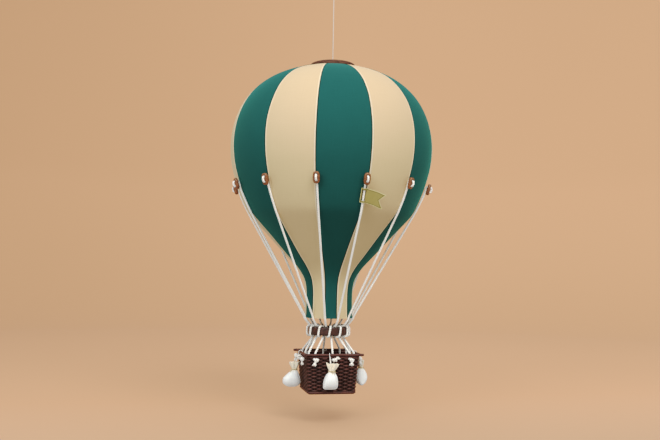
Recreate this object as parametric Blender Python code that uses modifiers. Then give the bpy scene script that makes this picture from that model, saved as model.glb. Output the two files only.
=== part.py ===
"""A decorative hot air balloon that hangs on a string.

A striped cloth envelope covers a hollow shell with an open mouth. Twelve ropes are toggled
round the envelope, wrap a wooden load ring and end in knots on a wicker basket, and a small
sandbag hangs on each side of the basket. The origin is where a hook bears in the hanging
loop, +Z is up, and the basket's front faces -Y.

A bearing is an angle in degrees about the vertical axis, from -Y towards +X.
A height is measured from the origin, so every piece below the loop has a negative one.
"""

import math

import bmesh
import bpy
from mathutils import Matrix, Vector

MM = 0.001
CLEARANCE = 0.3 * MM

# Twelve gores, with a rope on each seam
GORE_COUNT = 12
GORE_ANGLE = 360 / GORE_COUNT
FIRST_SEAM = -19.5
STEPS_PER_GORE = 3
SEAM_GAP = 0.8 * MM
SKIN_THICKNESS = 2 * MM
SHELL_THICKNESS = 7.5 * MM
SKIN_TO_SHELL = 0.4 * MM

# The outside of the envelope: radius, and drop below the crown
ENVELOPE_PROFILE = [
    (8 * MM, 0.0),
    (32 * MM, 0.5 * MM),
    (48 * MM, 2.9 * MM),
    (62 * MM, 6.9 * MM),
    (84 * MM, 14.7 * MM),
    (104 * MM, 25.4 * MM),
    (122.3 * MM, 40.5 * MM),
    (136.5 * MM, 60.5 * MM),
    (146.8 * MM, 86 * MM),
    (151.5 * MM, 116 * MM),
    (149.7 * MM, 146 * MM),
    (144.0 * MM, 170 * MM),
    (136.4 * MM, 192 * MM),
    (130.4 * MM, 206 * MM),
    (122.4 * MM, 221 * MM),
    (109.2 * MM, 236 * MM),
    (95 * MM, 251 * MM),
    (67.5 * MM, 281 * MM),
    (48.3 * MM, 302 * MM),
    (39 * MM, 317 * MM),
    (35.6 * MM, 332 * MM),
    (35.4 * MM, 374.5 * MM),
]
# Bands of the shell: name, and the rows of the profile at which each begins and ends
SHELL_BANDS = [
    ("shell_crown", 0, 5),
    ("shell_shoulder", 5, 8),
    ("shell_belly", 8, 10),
    ("shell_flank", 10, 13),
    ("shell_cone", 13, 18),
    ("shell_neck", 18, 21),
]

# Hanging string, its loop and the crown disc that carries everything
STRING_DIAMETER = 1.5 * MM
LOOP_WIDTH = 9 * MM
LOOP_HEIGHT = 16 * MM
LOOP_KNOT_RADIUS = 2.2 * MM
DISC_TOP = -125 * MM
DISC_RADIUS = 34.5 * MM
DISC_THICKNESS = 8.5 * MM
DISC_EDGE_ROUND = 1.2 * MM
DISC_HOLE_RADIUS = 1.1 * MM
CROWN = DISC_TOP - DISC_THICKNESS - CLEARANCE

# Oval toggles
TOGGLE_HEIGHT = -316 * MM
TOGGLE_RADIUS = 147 * MM
TOGGLE_TILT = 15
TOGGLE_LENGTH = 16.5 * MM
TOGGLE_WIDTH = 9.5 * MM
TOGGLE_THICKNESS = 4.8 * MM
TOGGLE_EDGE_ROUND = 1.7 * MM
TOGGLE_HOLE_RADIUS = 2.05 * MM
TOGGLE_HOLE_OFFSET = 3.7 * MM
# Hand-sewn toggles that sit beside their seams, in degrees; their ropes come back to the seams at the hem
TOGGLE_DRIFTS = {1: -3.2, 2: -3.2}

# Ropes
ROPE_RADIUS = 1.65 * MM
HEM_ROPE_RADIUS = 37.6 * MM
# Where a taut rope lies on the envelope's bulge: radius, and drop below the crown
ROPE_RESTS = [(132.9 * MM, 206 * MM), (125.1 * MM, 221 * MM)]
# A knot is a lobe against the wall and a frayed tuft: half sizes along the wall, outwards and up
KNOT_LOBE = (3.9 * MM, 3.1 * MM, 2.9 * MM)
KNOT_TUFT = (3.5 * MM, 2.5 * MM, 2.9 * MM)
KNOT_OUTWARD = 3.6 * MM
MIDDLE_KNOT_SHIFT = 1.3 * MM
# Where the tuft lies from its lobe, along the wall and up, for the three ropes of a side
TUFT_OFFSETS = [(-1.9 * MM, -4.8 * MM), (3.2 * MM, 2 * MM), (0.6 * MM, -4.9 * MM)]

# Load ring
RING_TOP = -522 * MM
RING_HEIGHT = 11.2 * MM
RING_OUTER_RADIUS = 29.7 * MM
RING_INNER_RADIUS = 22.2 * MM
RING_EDGE_ROUND = 1 * MM
RING_STEPS = 36

# Basket and its rim of four crossed rods
RIM_HEIGHT = -560 * MM
RIM_HALF = 40 * MM
RIM_ROD_RADIUS = 1.8 * MM
RIM_ROD_LENGTH = 90.5 * MM
BASKET_TOP = RIM_HEIGHT - RIM_ROD_RADIUS - CLEARANCE
BASKET_BOTTOM = -616 * MM
BASKET_TOP_HALF = 39.5 * MM
BASKET_BOTTOM_HALF = 35.2 * MM
BASKET_WALL = 3 * MM
BASKET_FLOOR = 3 * MM
BASKET_CORNER_ROUND = 2.5 * MM
ROPE_SPACING = 26 * MM
ROPE_HOLE_DROP = 7 * MM
ROPE_HOLE_RADIUS = 2.3 * MM

# Sandbags and the strings that hang them on the rim
BAG_SIDE_OFFSET = -5.5 * MM
BAG_CORD_RADIUS = 0.6 * MM
BAG_CORD_LOOP_RADIUS = RIM_ROD_RADIUS + CLEARANCE + BAG_CORD_RADIUS
BAG_CORD_STRAND_GAP = 0.9 * MM
BAG_CORD_OUTWARD = 7 * MM
NOTCH_WIDTH = 5 * MM
# Half width, half thickness and drop below the rim of a bag, from its ruffle down to its seam
BAG_SECTIONS = [
    (9.6 * MM, 3.8 * MM, 12.2 * MM),
    (7.4 * MM, 3.4 * MM, 17.5 * MM),
    (5.0 * MM, 3.4 * MM, 22.4 * MM),
    (5.0 * MM, 3.4 * MM, 24 * MM),
    (7.7 * MM, 6.4 * MM, 27 * MM),
    (10.0 * MM, 8.8 * MM, 31 * MM),
    (10.9 * MM, 10 * MM, 36.5 * MM),
    (11.1 * MM, 9.3 * MM, 42.5 * MM),
    (10.8 * MM, 5.8 * MM, 46.5 * MM),
    (10.0 * MM, 1.6 * MM, 48.4 * MM),
]
BAG_SQUARENESS = 0.72
BAG_SEGMENTS = 16
# How each bag hangs: extra drop, distance out from the rim rod, and its width and thickness as
# shares of the sections; the left one is turned and flattened, so it is widest outwards
BAG_HANGS = {
    "front": (-1 * MM, 10.2 * MM, 1, 1),
    "right": (-1 * MM, 9.6 * MM, 1, 0.94),
    "rear": (0.5 * MM, 10.2 * MM, 1, 1),
    "left": (2.5 * MM, 13 * MM, 0.72, 1.34),
}

# Pennant threaded on one rope; past the rope its free part turns out from the envelope
PENNANT_ROPE = 1
PENNANT_THICKNESS = 0.6 * MM
PENNANT_HEIGHT = 20.5 * MM
PENNANT_LENGTH = 35.5 * MM
PENNANT_NOTCH = 7.5 * MM
PENNANT_OVERHANG = 4.6 * MM
PENNANT_START = 4.2 * MM
PENNANT_TURN = 38
PENNANT_LIFT = 4.4 * MM
PENNANT_LIFT_REACH = 40 * MM
PENNANT_SLOT_MARGIN = 2.6 * MM
PENNANT_SLOT_HEIGHT = 1.8 * MM
PENNANT_HALF_SLOT = 3.2 * MM
PENNANT_HALF_BOW = 1.8 * MM

# Name, bearing of the outward direction
SIDES = [("front", 0), ("right", 90), ("rear", 180), ("left", 270)]


def on_bearing(radius, bearing, height):
    angle = math.radians(bearing)
    return Vector((radius * math.sin(angle), -radius * math.cos(angle), height))


def rope_bearing(index, height):
    """The bearing of a rope on the envelope, from its toggle down to the hem."""
    hem = CROWN - ENVELOPE_PROFILE[-1][1]
    drift = TOGGLE_DRIFTS.get(index, 0) * (height - hem) / (TOGGLE_HEIGHT - hem)
    return FIRST_SEAM + GORE_ANGLE * index + drift


def side_point(bearing, sideways, outward, height):
    """A point given from the axis towards a side: sideways is to its right, seen from outside."""
    angle = math.radians(bearing)
    out = Vector((math.sin(angle), -math.cos(angle), 0))
    right = Vector((math.cos(angle), math.sin(angle), 0))
    return Vector((0, 0, height)) + out * outward + right * sideways


def make_collection(name):
    collection = bpy.data.collections.new(name)
    bpy.context.scene.collection.children.link(collection)
    return collection


def make_material(name, colour, roughness, metallic=0.0):
    material = bpy.data.materials.new(name)
    material.use_nodes = True
    shader = material.node_tree.nodes["Principled BSDF"]
    shader.inputs["Base Color"].default_value = (*colour, 1)
    shader.inputs["Roughness"].default_value = roughness
    shader.inputs["Metallic"].default_value = metallic
    material.diffuse_color = (*colour, 1)
    return material


def add_object(name, data, collection, material=None):
    obj = bpy.data.objects.new(name, data)
    collection.objects.link(obj)
    if material:
        data.materials.append(material)
    return obj


def mesh_object(name, bm, collection, material=None):
    mesh = bpy.data.meshes.new(name)
    bm.to_mesh(mesh)
    bm.free()
    mesh.shade_smooth()
    mesh.set_sharp_from_angle(angle=math.radians(35))
    return add_object(name, mesh, collection, material)


def turned(name, outline, steps, collection, material, closed):
    """A profile of (radius, height) points turned about the vertical axis."""
    bm = bmesh.new()
    corners = [bm.verts.new((radius, 0, height)) for radius, height in outline]
    for first, second in zip(corners, corners[1:]):
        bm.edges.new((first, second))
    if closed:
        bm.edges.new((corners[-1], corners[0]))
    mesh = bpy.data.meshes.new(name)
    bm.to_mesh(mesh)
    bm.free()
    obj = add_object(name, mesh, collection, material)
    screw = obj.modifiers.new("Turn", "SCREW")
    screw.steps = steps
    screw.render_steps = steps
    screw.use_merge_vertices = True
    screw.merge_threshold = 0.00001
    return obj


def tube(name, points, radius, collection, material, resolution=2):
    """A round tube with closed ends along the points."""
    curve = bpy.data.curves.new(name, "CURVE")
    curve.dimensions = "3D"
    curve.bevel_depth = radius
    curve.bevel_resolution = resolution
    curve.use_fill_caps = True
    line = curve.splines.new("POLY")
    line.points.add(len(points) - 1)
    for line_point, point in zip(line.points, points):
        line_point.co = (*point, 1)
    return add_object(name, curve, collection, material)


def as_mesh(obj):
    """Replaces a curve object by the mesh that it makes, with its end caps welded."""
    graph = bpy.context.evaluated_depsgraph_get()
    mesh = bpy.data.meshes.new_from_object(obj.evaluated_get(graph))
    bm = bmesh.new()
    bm.from_mesh(mesh)
    bmesh.ops.remove_doubles(bm, verts=bm.verts, dist=0.00001)
    bmesh.ops.recalc_face_normals(bm, faces=bm.faces)
    bm.to_mesh(mesh)
    bm.free()
    name = obj.name
    placed = obj.matrix_world.copy()
    collection = obj.users_collection[0]
    bpy.data.objects.remove(obj)
    solid = add_object(name, mesh, collection)
    solid.matrix_world = placed
    return solid


def hide_helper(obj):
    obj.hide_render = True
    obj.display_type = "WIRE"
    return obj


def boolean(obj, other, operation):
    modifier = obj.modifiers.new(operation.title(), "BOOLEAN")
    modifier.operation = operation
    modifier.object = hide_helper(other)


def rod(name, start, end, radius, segments, collection, material=None):
    bm = bmesh.new()
    along = Vector(end) - Vector(start)
    turn = along.to_track_quat("Z", "Y").to_matrix().to_4x4()
    place = Matrix.Translation((Vector(start) + Vector(end)) / 2) @ turn
    bmesh.ops.create_cone(
        bm, cap_ends=True, segments=segments, radius1=radius, radius2=radius, depth=along.length, matrix=place
    )
    return mesh_object(name, bm, collection, material)


def inset_profile(outline, depth):
    """The outline moved inwards by depth, square to itself. It runs from the crown to the hem."""
    inset = []
    for index, (radius, drop) in enumerate(outline):
        before = Vector(outline[max(index - 1, 0)])
        after = Vector(outline[min(index + 1, len(outline) - 1)])
        here = Vector((radius, drop))
        lines = [line.normalized() for line in (here - before, after - here) if line.length > 0]
        along = sum(lines, Vector((0, 0))).normalized()
        bend = along.dot(lines[0])
        inwards = Vector((-along.y, along.x))
        inset.append(here + inwards * depth / bend)
    return inset


def band_side(points, first, last):
    """The rows of one band, drawn back at both ends by half the gap to the next band."""
    rows = [Vector(point) for point in points[first : last + 1]]
    for end, beyond in ((0, 1), (-1, -2)):
        rows[end] += (rows[beyond] - rows[end]).normalized() * CLEARANCE / 2
    return rows


def build_envelope(parts, shell_material, stripe_materials):
    """The hollow shell in its bands, and the twelve cloth gores that cover it."""
    outside = inset_profile(ENVELOPE_PROFILE, SKIN_THICKNESS + SKIN_TO_SHELL)
    inside = inset_profile(ENVELOPE_PROFILE, SKIN_THICKNESS + SKIN_TO_SHELL + SHELL_THICKNESS)
    for name, first, last in SHELL_BANDS:
        ring = band_side(outside, first, last) + band_side(inside, first, last)[::-1]
        if first == 0:
            # The crown band is whole across the axis
            ring[0].x = 0
            ring[-1].x = 0
        outline = [(point.x, CROWN - point.y) for point in ring]
        band = turned(name, outline, GORE_COUNT * STEPS_PER_GORE, parts, shell_material, closed=first > 0)
        band.rotation_euler.z = math.radians(FIRST_SEAM - 90)

    for index in range(GORE_COUNT):
        middle = FIRST_SEAM + GORE_ANGLE * (index + 0.5)
        bm = bmesh.new()
        bmesh.ops.create_grid(bm, x_segments=STEPS_PER_GORE, y_segments=len(ENVELOPE_PROFILE) - 1, size=0.5)
        for vert in bm.verts:
            row = round((0.5 - vert.co.y) * (len(ENVELOPE_PROFILE) - 1))
            radius, drop = ENVELOPE_PROFILE[row]
            bearing = vert.co.x * GORE_ANGLE
            if abs(vert.co.x) > 0.49:
                bearing -= math.copysign(math.degrees(SEAM_GAP / 2 / radius), bearing)
            vert.co = on_bearing(radius, middle + bearing, CROWN - drop)
        bmesh.ops.recalc_face_normals(bm, faces=bm.faces)
        bm.faces.ensure_lookup_table()
        face = bm.faces[0]
        if face.normal.dot(face.calc_center_median() - Vector((0, 0, CROWN - 0.2))) < 0:
            bmesh.ops.reverse_faces(bm, faces=bm.faces)
        gore = mesh_object(f"gore_{index + 1:02}", bm, parts, stripe_materials[index % 2])
        wall = gore.modifiers.new("Cloth", "SOLIDIFY")
        wall.thickness = SKIN_THICKNESS
        wall.offset = -1
        wall.use_even_offset = True


def toggle_frame(index):
    """Axes of a toggle: x along it and down, y across it, z out of the envelope."""
    bearing = rope_bearing(index, TOGGLE_HEIGHT)
    tilt = math.radians(TOGGLE_TILT)
    out = on_bearing(1, bearing, 0)
    down = -math.sin(tilt) * out - Vector((0, 0, math.cos(tilt)))
    normal = math.cos(tilt) * out - Vector((0, 0, math.sin(tilt)))
    across = normal.cross(down)
    place = Matrix((down, across, normal)).transposed().to_4x4()
    return Matrix.Translation(on_bearing(TOGGLE_RADIUS, bearing, TOGGLE_HEIGHT)) @ place


def build_toggles(parts, cutters, wood):
    """Oval wooden toggles, each with two holes for its rope."""
    for index in range(GORE_COUNT):
        place = toggle_frame(index)
        bm = bmesh.new()
        bmesh.ops.create_cone(
            bm, cap_ends=True, segments=14, radius1=0.5, radius2=0.5, depth=TOGGLE_THICKNESS
        )
        bmesh.ops.scale(bm, vec=(TOGGLE_LENGTH, TOGGLE_WIDTH, 1), verts=bm.verts)
        toggle = mesh_object(f"toggle_{index + 1:02}", bm, parts, wood)
        toggle.matrix_world = place
        edge = toggle.modifiers.new("Round", "BEVEL")
        edge.width = TOGGLE_EDGE_ROUND
        edge.segments = 2
        for offset in (-TOGGLE_HOLE_OFFSET, TOGGLE_HOLE_OFFSET):
            reach = Vector((0, 0, TOGGLE_THICKNESS))
            middle = Vector((offset, 0, 0))
            hole = rod(f"toggle_hole_{index}", middle - reach, middle + reach, TOGGLE_HOLE_RADIUS, 10, cutters)
            hole.matrix_world = place
            boolean(toggle, hole, "DIFFERENCE")


def rope_landing(index):
    """Where a rope comes to the basket: the side's bearing, the place on it from -1 to 1, and sideways."""
    place = (index + 1) % 3 - 1
    return SIDES[((index + 1) // 3) % 4][1], place, place * ROPE_SPACING


def rope_points(index):
    """The way of one rope from its toggle to where it leaves the basket's wall."""
    landing = GORE_ANGLE * index
    toggle = toggle_frame(index)
    hole = TOGGLE_HOLE_OFFSET
    face = TOGGLE_THICKNESS / 2
    over = face + CLEARANCE + ROPE_RADIUS
    # Up through the lower hole, over the face, back through the upper hole and down behind
    points = [
        toggle @ Vector(local)
        for local in (
            (hole, 0, -face + 0.4 * MM),
            (hole, 0, face),
            (hole * 0.7, 0, over),
            (-hole * 0.7, 0, over),
            (-hole, 0, face),
            (-hole, 0, -face),
            (-hole * 0.6, 0, -over),
            (TOGGLE_LENGTH * 0.55, 0, -over),
        )
    ]
    hem = CROWN - ENVELOPE_PROFILE[-1][1]
    seam = rope_bearing(index, hem)
    if index == PENNANT_ROPE:
        # The pennant's cloth lies between this rope and the envelope, and lifts it a little
        low = on_bearing(HEM_ROPE_RADIUS, seam, hem)
        down = (low - points[-1]).normalized()
        lift = toggle.to_3x3() @ Vector((0, 0, 1))
        points.append(points[-1] + down * PENNANT_LIFT_REACH + lift * PENNANT_LIFT)
    else:
        for radius, drop in ROPE_RESTS:
            points.append(on_bearing(radius, rope_bearing(index, CROWN - drop), CROWN - drop))
    points += [
        on_bearing(HEM_ROPE_RADIUS, seam, hem + 2.5 * MM),
        on_bearing(HEM_ROPE_RADIUS - 1 * MM, seam, hem - 1.5 * MM),
    ]
    # Once and a half round the ring: over its top, down inside, under, up outside and in again
    away = ROPE_RADIUS + CLEARANCE
    top = RING_TOP + away
    bottom = RING_TOP - RING_HEIGHT - away
    inner = RING_INNER_RADIUS - away
    outer = RING_OUTER_RADIUS + away
    soft = 2 * MM
    wraps = (
        (outer - 3.5 * MM, top + 0.3 * MM, -19.5),
        (inner + soft, top, -19.2),
        (inner, top - soft, -18.8),
        (inner, bottom + soft, -16.5),
        (inner + soft, bottom, -15),
        (outer - soft, bottom, -11),
        (outer, bottom + soft, -9.5),
        (outer, top - soft, -6),
        (outer - soft, top, -5),
        (inner + soft, top, -2.5),
        (inner, top - soft, -1.8),
        (inner, bottom + soft, -0.5),
        (inner + soft, bottom - 0.3 * MM, 0),
    )
    points += [on_bearing(radius, landing + turn, height) for radius, height, turn in wraps]
    # Down to the basket, inside its rim, and out through its wall
    bearing, _, sideways = rope_landing(index)
    wall_inside = BASKET_TOP_HALF - BASKET_WALL - CLEARANCE - ROPE_RADIUS
    hole_height = RIM_HEIGHT - ROPE_HOLE_DROP
    through = (
        (wall_inside - 0.4 * MM, RIM_HEIGHT + 1 * MM),
        (wall_inside - 0.5 * MM, RIM_HEIGHT - 3.5 * MM),
        (wall_inside + 0.3 * MM, hole_height + 1 * MM),
        (wall_inside + 1.6 * MM, hole_height),
        (BASKET_TOP_HALF + KNOT_OUTWARD, hole_height),
    )
    points += [side_point(bearing, sideways, outward, height) for outward, height in through]
    return points


def knot_lobe(name, middle, bearing, half_sizes, collection):
    bm = bmesh.new()
    bmesh.ops.create_icosphere(bm, subdivisions=2, radius=1)
    bmesh.ops.scale(bm, vec=half_sizes, verts=bm.verts)
    turn = Matrix.Rotation(math.radians(bearing), 4, "Z")
    bmesh.ops.transform(bm, matrix=Matrix.Translation(middle) @ turn, verts=bm.verts)
    return mesh_object(name, bm, collection)


def build_ropes(parts, cutters, cotton):
    """The twelve ropes, each ending outside the basket's wall in a knot with a frayed tuft."""
    for index in range(GORE_COUNT):
        name = f"rope_{index + 1:02}"
        rope = as_mesh(tube(name, rope_points(index), ROPE_RADIUS, parts, None))
        rope.data.materials.append(cotton)
        bearing, place, sideways = rope_landing(index)
        if place == 0:
            sideways += MIDDLE_KNOT_SHIFT
        outward = BASKET_TOP_HALF + KNOT_OUTWARD
        height = RIM_HEIGHT - ROPE_HOLE_DROP
        along, up = TUFT_OFFSETS[place + 1]
        lobe = side_point(bearing, sideways, outward, height)
        tuft = side_point(bearing, sideways + along, outward, height + up)
        boolean(rope, knot_lobe(f"{name}_lobe", lobe, bearing, KNOT_LOBE, cutters), "UNION")
        boolean(rope, knot_lobe(f"{name}_tuft", tuft, bearing, KNOT_TUFT, cutters), "UNION")


def build_ring(parts, wood):
    """The wooden load ring under the mouth."""
    bottom = RING_TOP - RING_HEIGHT
    outline = [
        (RING_OUTER_RADIUS - RING_EDGE_ROUND, RING_TOP),
        (RING_OUTER_RADIUS, RING_TOP - RING_EDGE_ROUND),
        (RING_OUTER_RADIUS, bottom + RING_EDGE_ROUND),
        (RING_OUTER_RADIUS - RING_EDGE_ROUND, bottom),
        (RING_INNER_RADIUS + RING_EDGE_ROUND, bottom),
        (RING_INNER_RADIUS, bottom + RING_EDGE_ROUND),
        (RING_INNER_RADIUS, RING_TOP - RING_EDGE_ROUND),
        (RING_INNER_RADIUS + RING_EDGE_ROUND, RING_TOP),
    ]
    turned("load_ring", outline, RING_STEPS, parts, wood, closed=True)


def build_disc(parts, wood):
    """The round wooden disc on the crown, drilled for the hanging string."""
    bottom = DISC_TOP - DISC_THICKNESS
    outline = [
        (DISC_HOLE_RADIUS, DISC_TOP),
        (DISC_RADIUS - DISC_EDGE_ROUND, DISC_TOP),
        (DISC_RADIUS, DISC_TOP - DISC_EDGE_ROUND),
        (DISC_RADIUS, bottom + DISC_EDGE_ROUND),
        (DISC_RADIUS - DISC_EDGE_ROUND, bottom),
        (DISC_HOLE_RADIUS, bottom),
    ]
    turned("crown_disc", outline, 48, parts, wood, closed=True)


def build_string(parts, string):
    """The hanging string, and the knotted loop that a hook goes through."""
    radius = STRING_DIAMETER / 2
    knot_height = radius - LOOP_HEIGHT
    turns = 14
    loop_points = [Vector((0, 0, knot_height))]
    for turn in range(turns + 1):
        angle = math.radians(-60 + 300 * turn / turns)
        across = LOOP_WIDTH / 2 * math.cos(angle)
        height = radius - LOOP_WIDTH / 2 + LOOP_WIDTH / 2 * math.sin(angle)
        loop_points.append(Vector((across, 0, height)))
    loop_points.append(Vector((0, 0, knot_height)))
    loop = as_mesh(tube("hanging_loop", loop_points, radius, parts, None))
    loop.data.materials.append(string)
    knot = bmesh.new()
    bmesh.ops.create_uvsphere(knot, u_segments=10, v_segments=8, radius=LOOP_KNOT_RADIUS)
    bmesh.ops.scale(knot, vec=(1, 1, 1.25), verts=knot.verts)
    bmesh.ops.translate(knot, vec=(0, 0, knot_height), verts=knot.verts)
    boolean(loop, mesh_object("loop_knot", knot, parts), "UNION")
    top = knot_height - LOOP_KNOT_RADIUS * 1.25 - CLEARANCE
    steps = 12
    bottom = DISC_TOP - DISC_THICKNESS + CLEARANCE
    points = [Vector((0, 0, top + (bottom - top) * step / steps)) for step in range(steps + 1)]
    tube("hanging_string", points, radius, parts, string)


def tapered_box(name, top_half, top, bottom_half, bottom, collection, material=None):
    """A square box about the axis that tapers down."""
    bm = bmesh.new()
    bmesh.ops.create_cube(bm, size=1)
    for vert in bm.verts:
        half, height = (top_half, top) if vert.co.z > 0 else (bottom_half, bottom)
        vert.co = Vector((math.copysign(half, vert.co.x), math.copysign(half, vert.co.y), height))
    return mesh_object(name, bm, collection, material)


def build_basket(parts, cutters, wicker):
    """The square basket, its rope holes and notches, and the rim of four crossed rods."""
    basket = tapered_box(
        "basket", BASKET_TOP_HALF, BASKET_TOP, BASKET_BOTTOM_HALF, BASKET_BOTTOM, parts, wicker
    )
    corners = basket.modifiers.new("Corners", "BEVEL")
    corners.width = BASKET_CORNER_ROUND
    corners.segments = 1
    corners.limit_method = "ANGLE"
    corners.affect = "EDGES"
    taper = (BASKET_TOP_HALF - BASKET_BOTTOM_HALF) / (BASKET_TOP - BASKET_BOTTOM)
    above = 5 * MM
    hollow = tapered_box(
        "basket_hollow",
        BASKET_TOP_HALF - BASKET_WALL + above * taper,
        BASKET_TOP + above,
        BASKET_BOTTOM_HALF - BASKET_WALL + BASKET_FLOOR * taper,
        BASKET_BOTTOM + BASKET_FLOOR,
        cutters,
    )
    boolean(basket, hollow, "DIFFERENCE")
    height = RIM_HEIGHT - ROPE_HOLE_DROP
    for side, bearing in SIDES:
        for step in (-1, 0, 1):
            ends = [side_point(bearing, step * ROPE_SPACING, reach, height) for reach in (33 * MM, 44 * MM)]
            hole = rod(f"rope_hole_{side}", *ends, ROPE_HOLE_RADIUS, 10, cutters)
            boolean(basket, hole, "DIFFERENCE")
        ends = [
            side_point(bearing, BAG_SIDE_OFFSET + reach * NOTCH_WIDTH / 2, RIM_HALF, RIM_HEIGHT)
            for reach in (-1, 1)
        ]
        notch_radius = BAG_CORD_LOOP_RADIUS + BAG_CORD_RADIUS + CLEARANCE
        notch = rod(f"cord_notch_{side}", *ends, notch_radius, 16, cutters)
        boolean(basket, notch, "DIFFERENCE")

    rods = []
    for side, bearing in SIDES:
        ends = [
            side_point(bearing, reach * RIM_ROD_LENGTH / 2, RIM_HALF, RIM_HEIGHT) for reach in (-1, 1)
        ]
        name = "basket_rim" if not rods else f"rim_rod_{side}"
        rods.append(rod(name, *ends, RIM_ROD_RADIUS, 12, parts, wicker))
    for other in rods[1:]:
        boolean(rods[0], other, "UNION")


def bag_ring(bm, half_width, half_thickness, place):
    ring = []
    for step in range(BAG_SEGMENTS):
        angle = 2 * math.pi * step / BAG_SEGMENTS
        across = math.copysign(abs(math.cos(angle)) ** BAG_SQUARENESS, math.cos(angle))
        out = math.copysign(abs(math.sin(angle)) ** BAG_SQUARENESS, math.sin(angle))
        ring.append(bm.verts.new(place(across * half_width, out * half_thickness)))
    return ring


def build_sandbags(parts, canvas, string):
    """A tied cloth bag on each side of the basket, hung by a string looped over the rim."""
    for side, bearing in SIDES:
        def place(across, out, drop, bearing=bearing):
            return side_point(bearing, BAG_SIDE_OFFSET + across, RIM_HALF + out, RIM_HEIGHT - drop)

        sag, outward, width, thickness = BAG_HANGS[side]
        bm = bmesh.new()
        rings = []
        for half_width, half_thickness, drop in BAG_SECTIONS:
            rings.append(
                bag_ring(
                    bm,
                    half_width * width,
                    half_thickness * thickness,
                    lambda x, y, d=drop: place(x, outward + y, d + sag),
                )
            )
        for upper, lower in zip(rings, rings[1:]):
            for step in range(BAG_SEGMENTS):
                after = (step + 1) % BAG_SEGMENTS
                bm.faces.new((upper[step], upper[after], lower[after], lower[step]))
        bm.faces.new(rings[0])
        bm.faces.new(rings[-1])
        bmesh.ops.recalc_face_normals(bm, faces=bm.faces)
        mesh_object(f"sandbag_{side}", bm, parts, canvas)

        # Up from the ruffle, once over the rim rod, back under it and down again
        ruffle_top = BAG_SECTIONS[0][2] + sag - CLEARANCE
        half_gap = BAG_CORD_STRAND_GAP
        start = [(-half_gap, BAG_CORD_OUTWARD, ruffle_top), (-half_gap, 4 * MM, 4.5 * MM)]
        turns = 10
        over = []
        for turn in range(turns + 1):
            angle = math.radians(290 * turn / turns)
            across = half_gap * (2 * turn / turns - 1)
            over.append(
                (across, BAG_CORD_LOOP_RADIUS * math.cos(angle), -BAG_CORD_LOOP_RADIUS * math.sin(angle))
            )
        end = [(half_gap, 4 * MM, 5.2 * MM), (half_gap, BAG_CORD_OUTWARD, ruffle_top)]
        points = [place(*point) for point in start + over + end]
        tube(f"sandbag_cord_{side}", points, BAG_CORD_RADIUS, parts, string, resolution=1)


def build_pennant(parts, cloth):
    """A swallow-tailed pennant with two slots, threaded on the rope below its toggle."""
    top, low = rope_points(PENNANT_ROPE)[7:9]
    down = (low - top).normalized()
    flat = on_bearing(1, rope_bearing(PENNANT_ROPE, TOGGLE_HEIGHT) + 90, 0)
    out = down.cross(flat).normalized()
    turn = math.radians(PENNANT_TURN)
    turned_out = flat * math.cos(turn) + out * math.sin(turn)
    reach = ROPE_RADIUS + CLEARANCE + PENNANT_THICKNESS / 2
    slot = PENNANT_SLOT_MARGIN
    rows = [0, slot, slot + PENNANT_SLOT_HEIGHT, PENNANT_HEIGHT / 2]
    rows += [PENNANT_HEIGHT - row for row in reversed(rows[:3])]
    half_slot = PENNANT_HALF_SLOT
    half_bow = PENNANT_HALF_BOW
    columns = [-PENNANT_OVERHANG, -half_slot, -half_bow, half_bow, half_slot, 8 * MM, 20 * MM]
    columns += [PENNANT_LENGTH - PENNANT_OVERHANG - PENNANT_NOTCH, PENNANT_LENGTH - PENNANT_OVERHANG]
    bm = bmesh.new()
    bmesh.ops.create_grid(bm, x_segments=len(columns) - 1, y_segments=len(rows) - 1, size=0.5)
    slots = []
    for face in bm.faces:
        column = (face.calc_center_median().x + 0.5) * (len(columns) - 1)
        row = (0.5 - face.calc_center_median().y) * (len(rows) - 1)
        if 1 < column < 4 and (1 < row < 2 or 4 < row < 5):
            slots.append(face)
    bmesh.ops.delete(bm, geom=slots, context="FACES")
    for vert in bm.verts:
        column = round((vert.co.x + 0.5) * (len(columns) - 1))
        row = round((0.5 - vert.co.y) * (len(rows) - 1))
        sideways = columns[column]
        if column == len(columns) - 1:
            sideways -= PENNANT_NOTCH * (1 - abs(rows[row] - PENNANT_HEIGHT / 2) / (PENNANT_HEIGHT / 2))
        bow = reach if column in (2, 3) else 0
        if 2 <= row <= 4:
            bow = -bow
        beyond = max(sideways - half_bow, 0)
        threaded = top + down * (PENNANT_START + rows[row]) + out * bow
        vert.co = threaded + flat * (sideways - beyond) + turned_out * beyond
    pennant = mesh_object("pennant", bm, parts, cloth)
    wall = pennant.modifiers.new("Cloth", "SOLIDIFY")
    wall.thickness = PENNANT_THICKNESS
    wall.offset = 0


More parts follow.
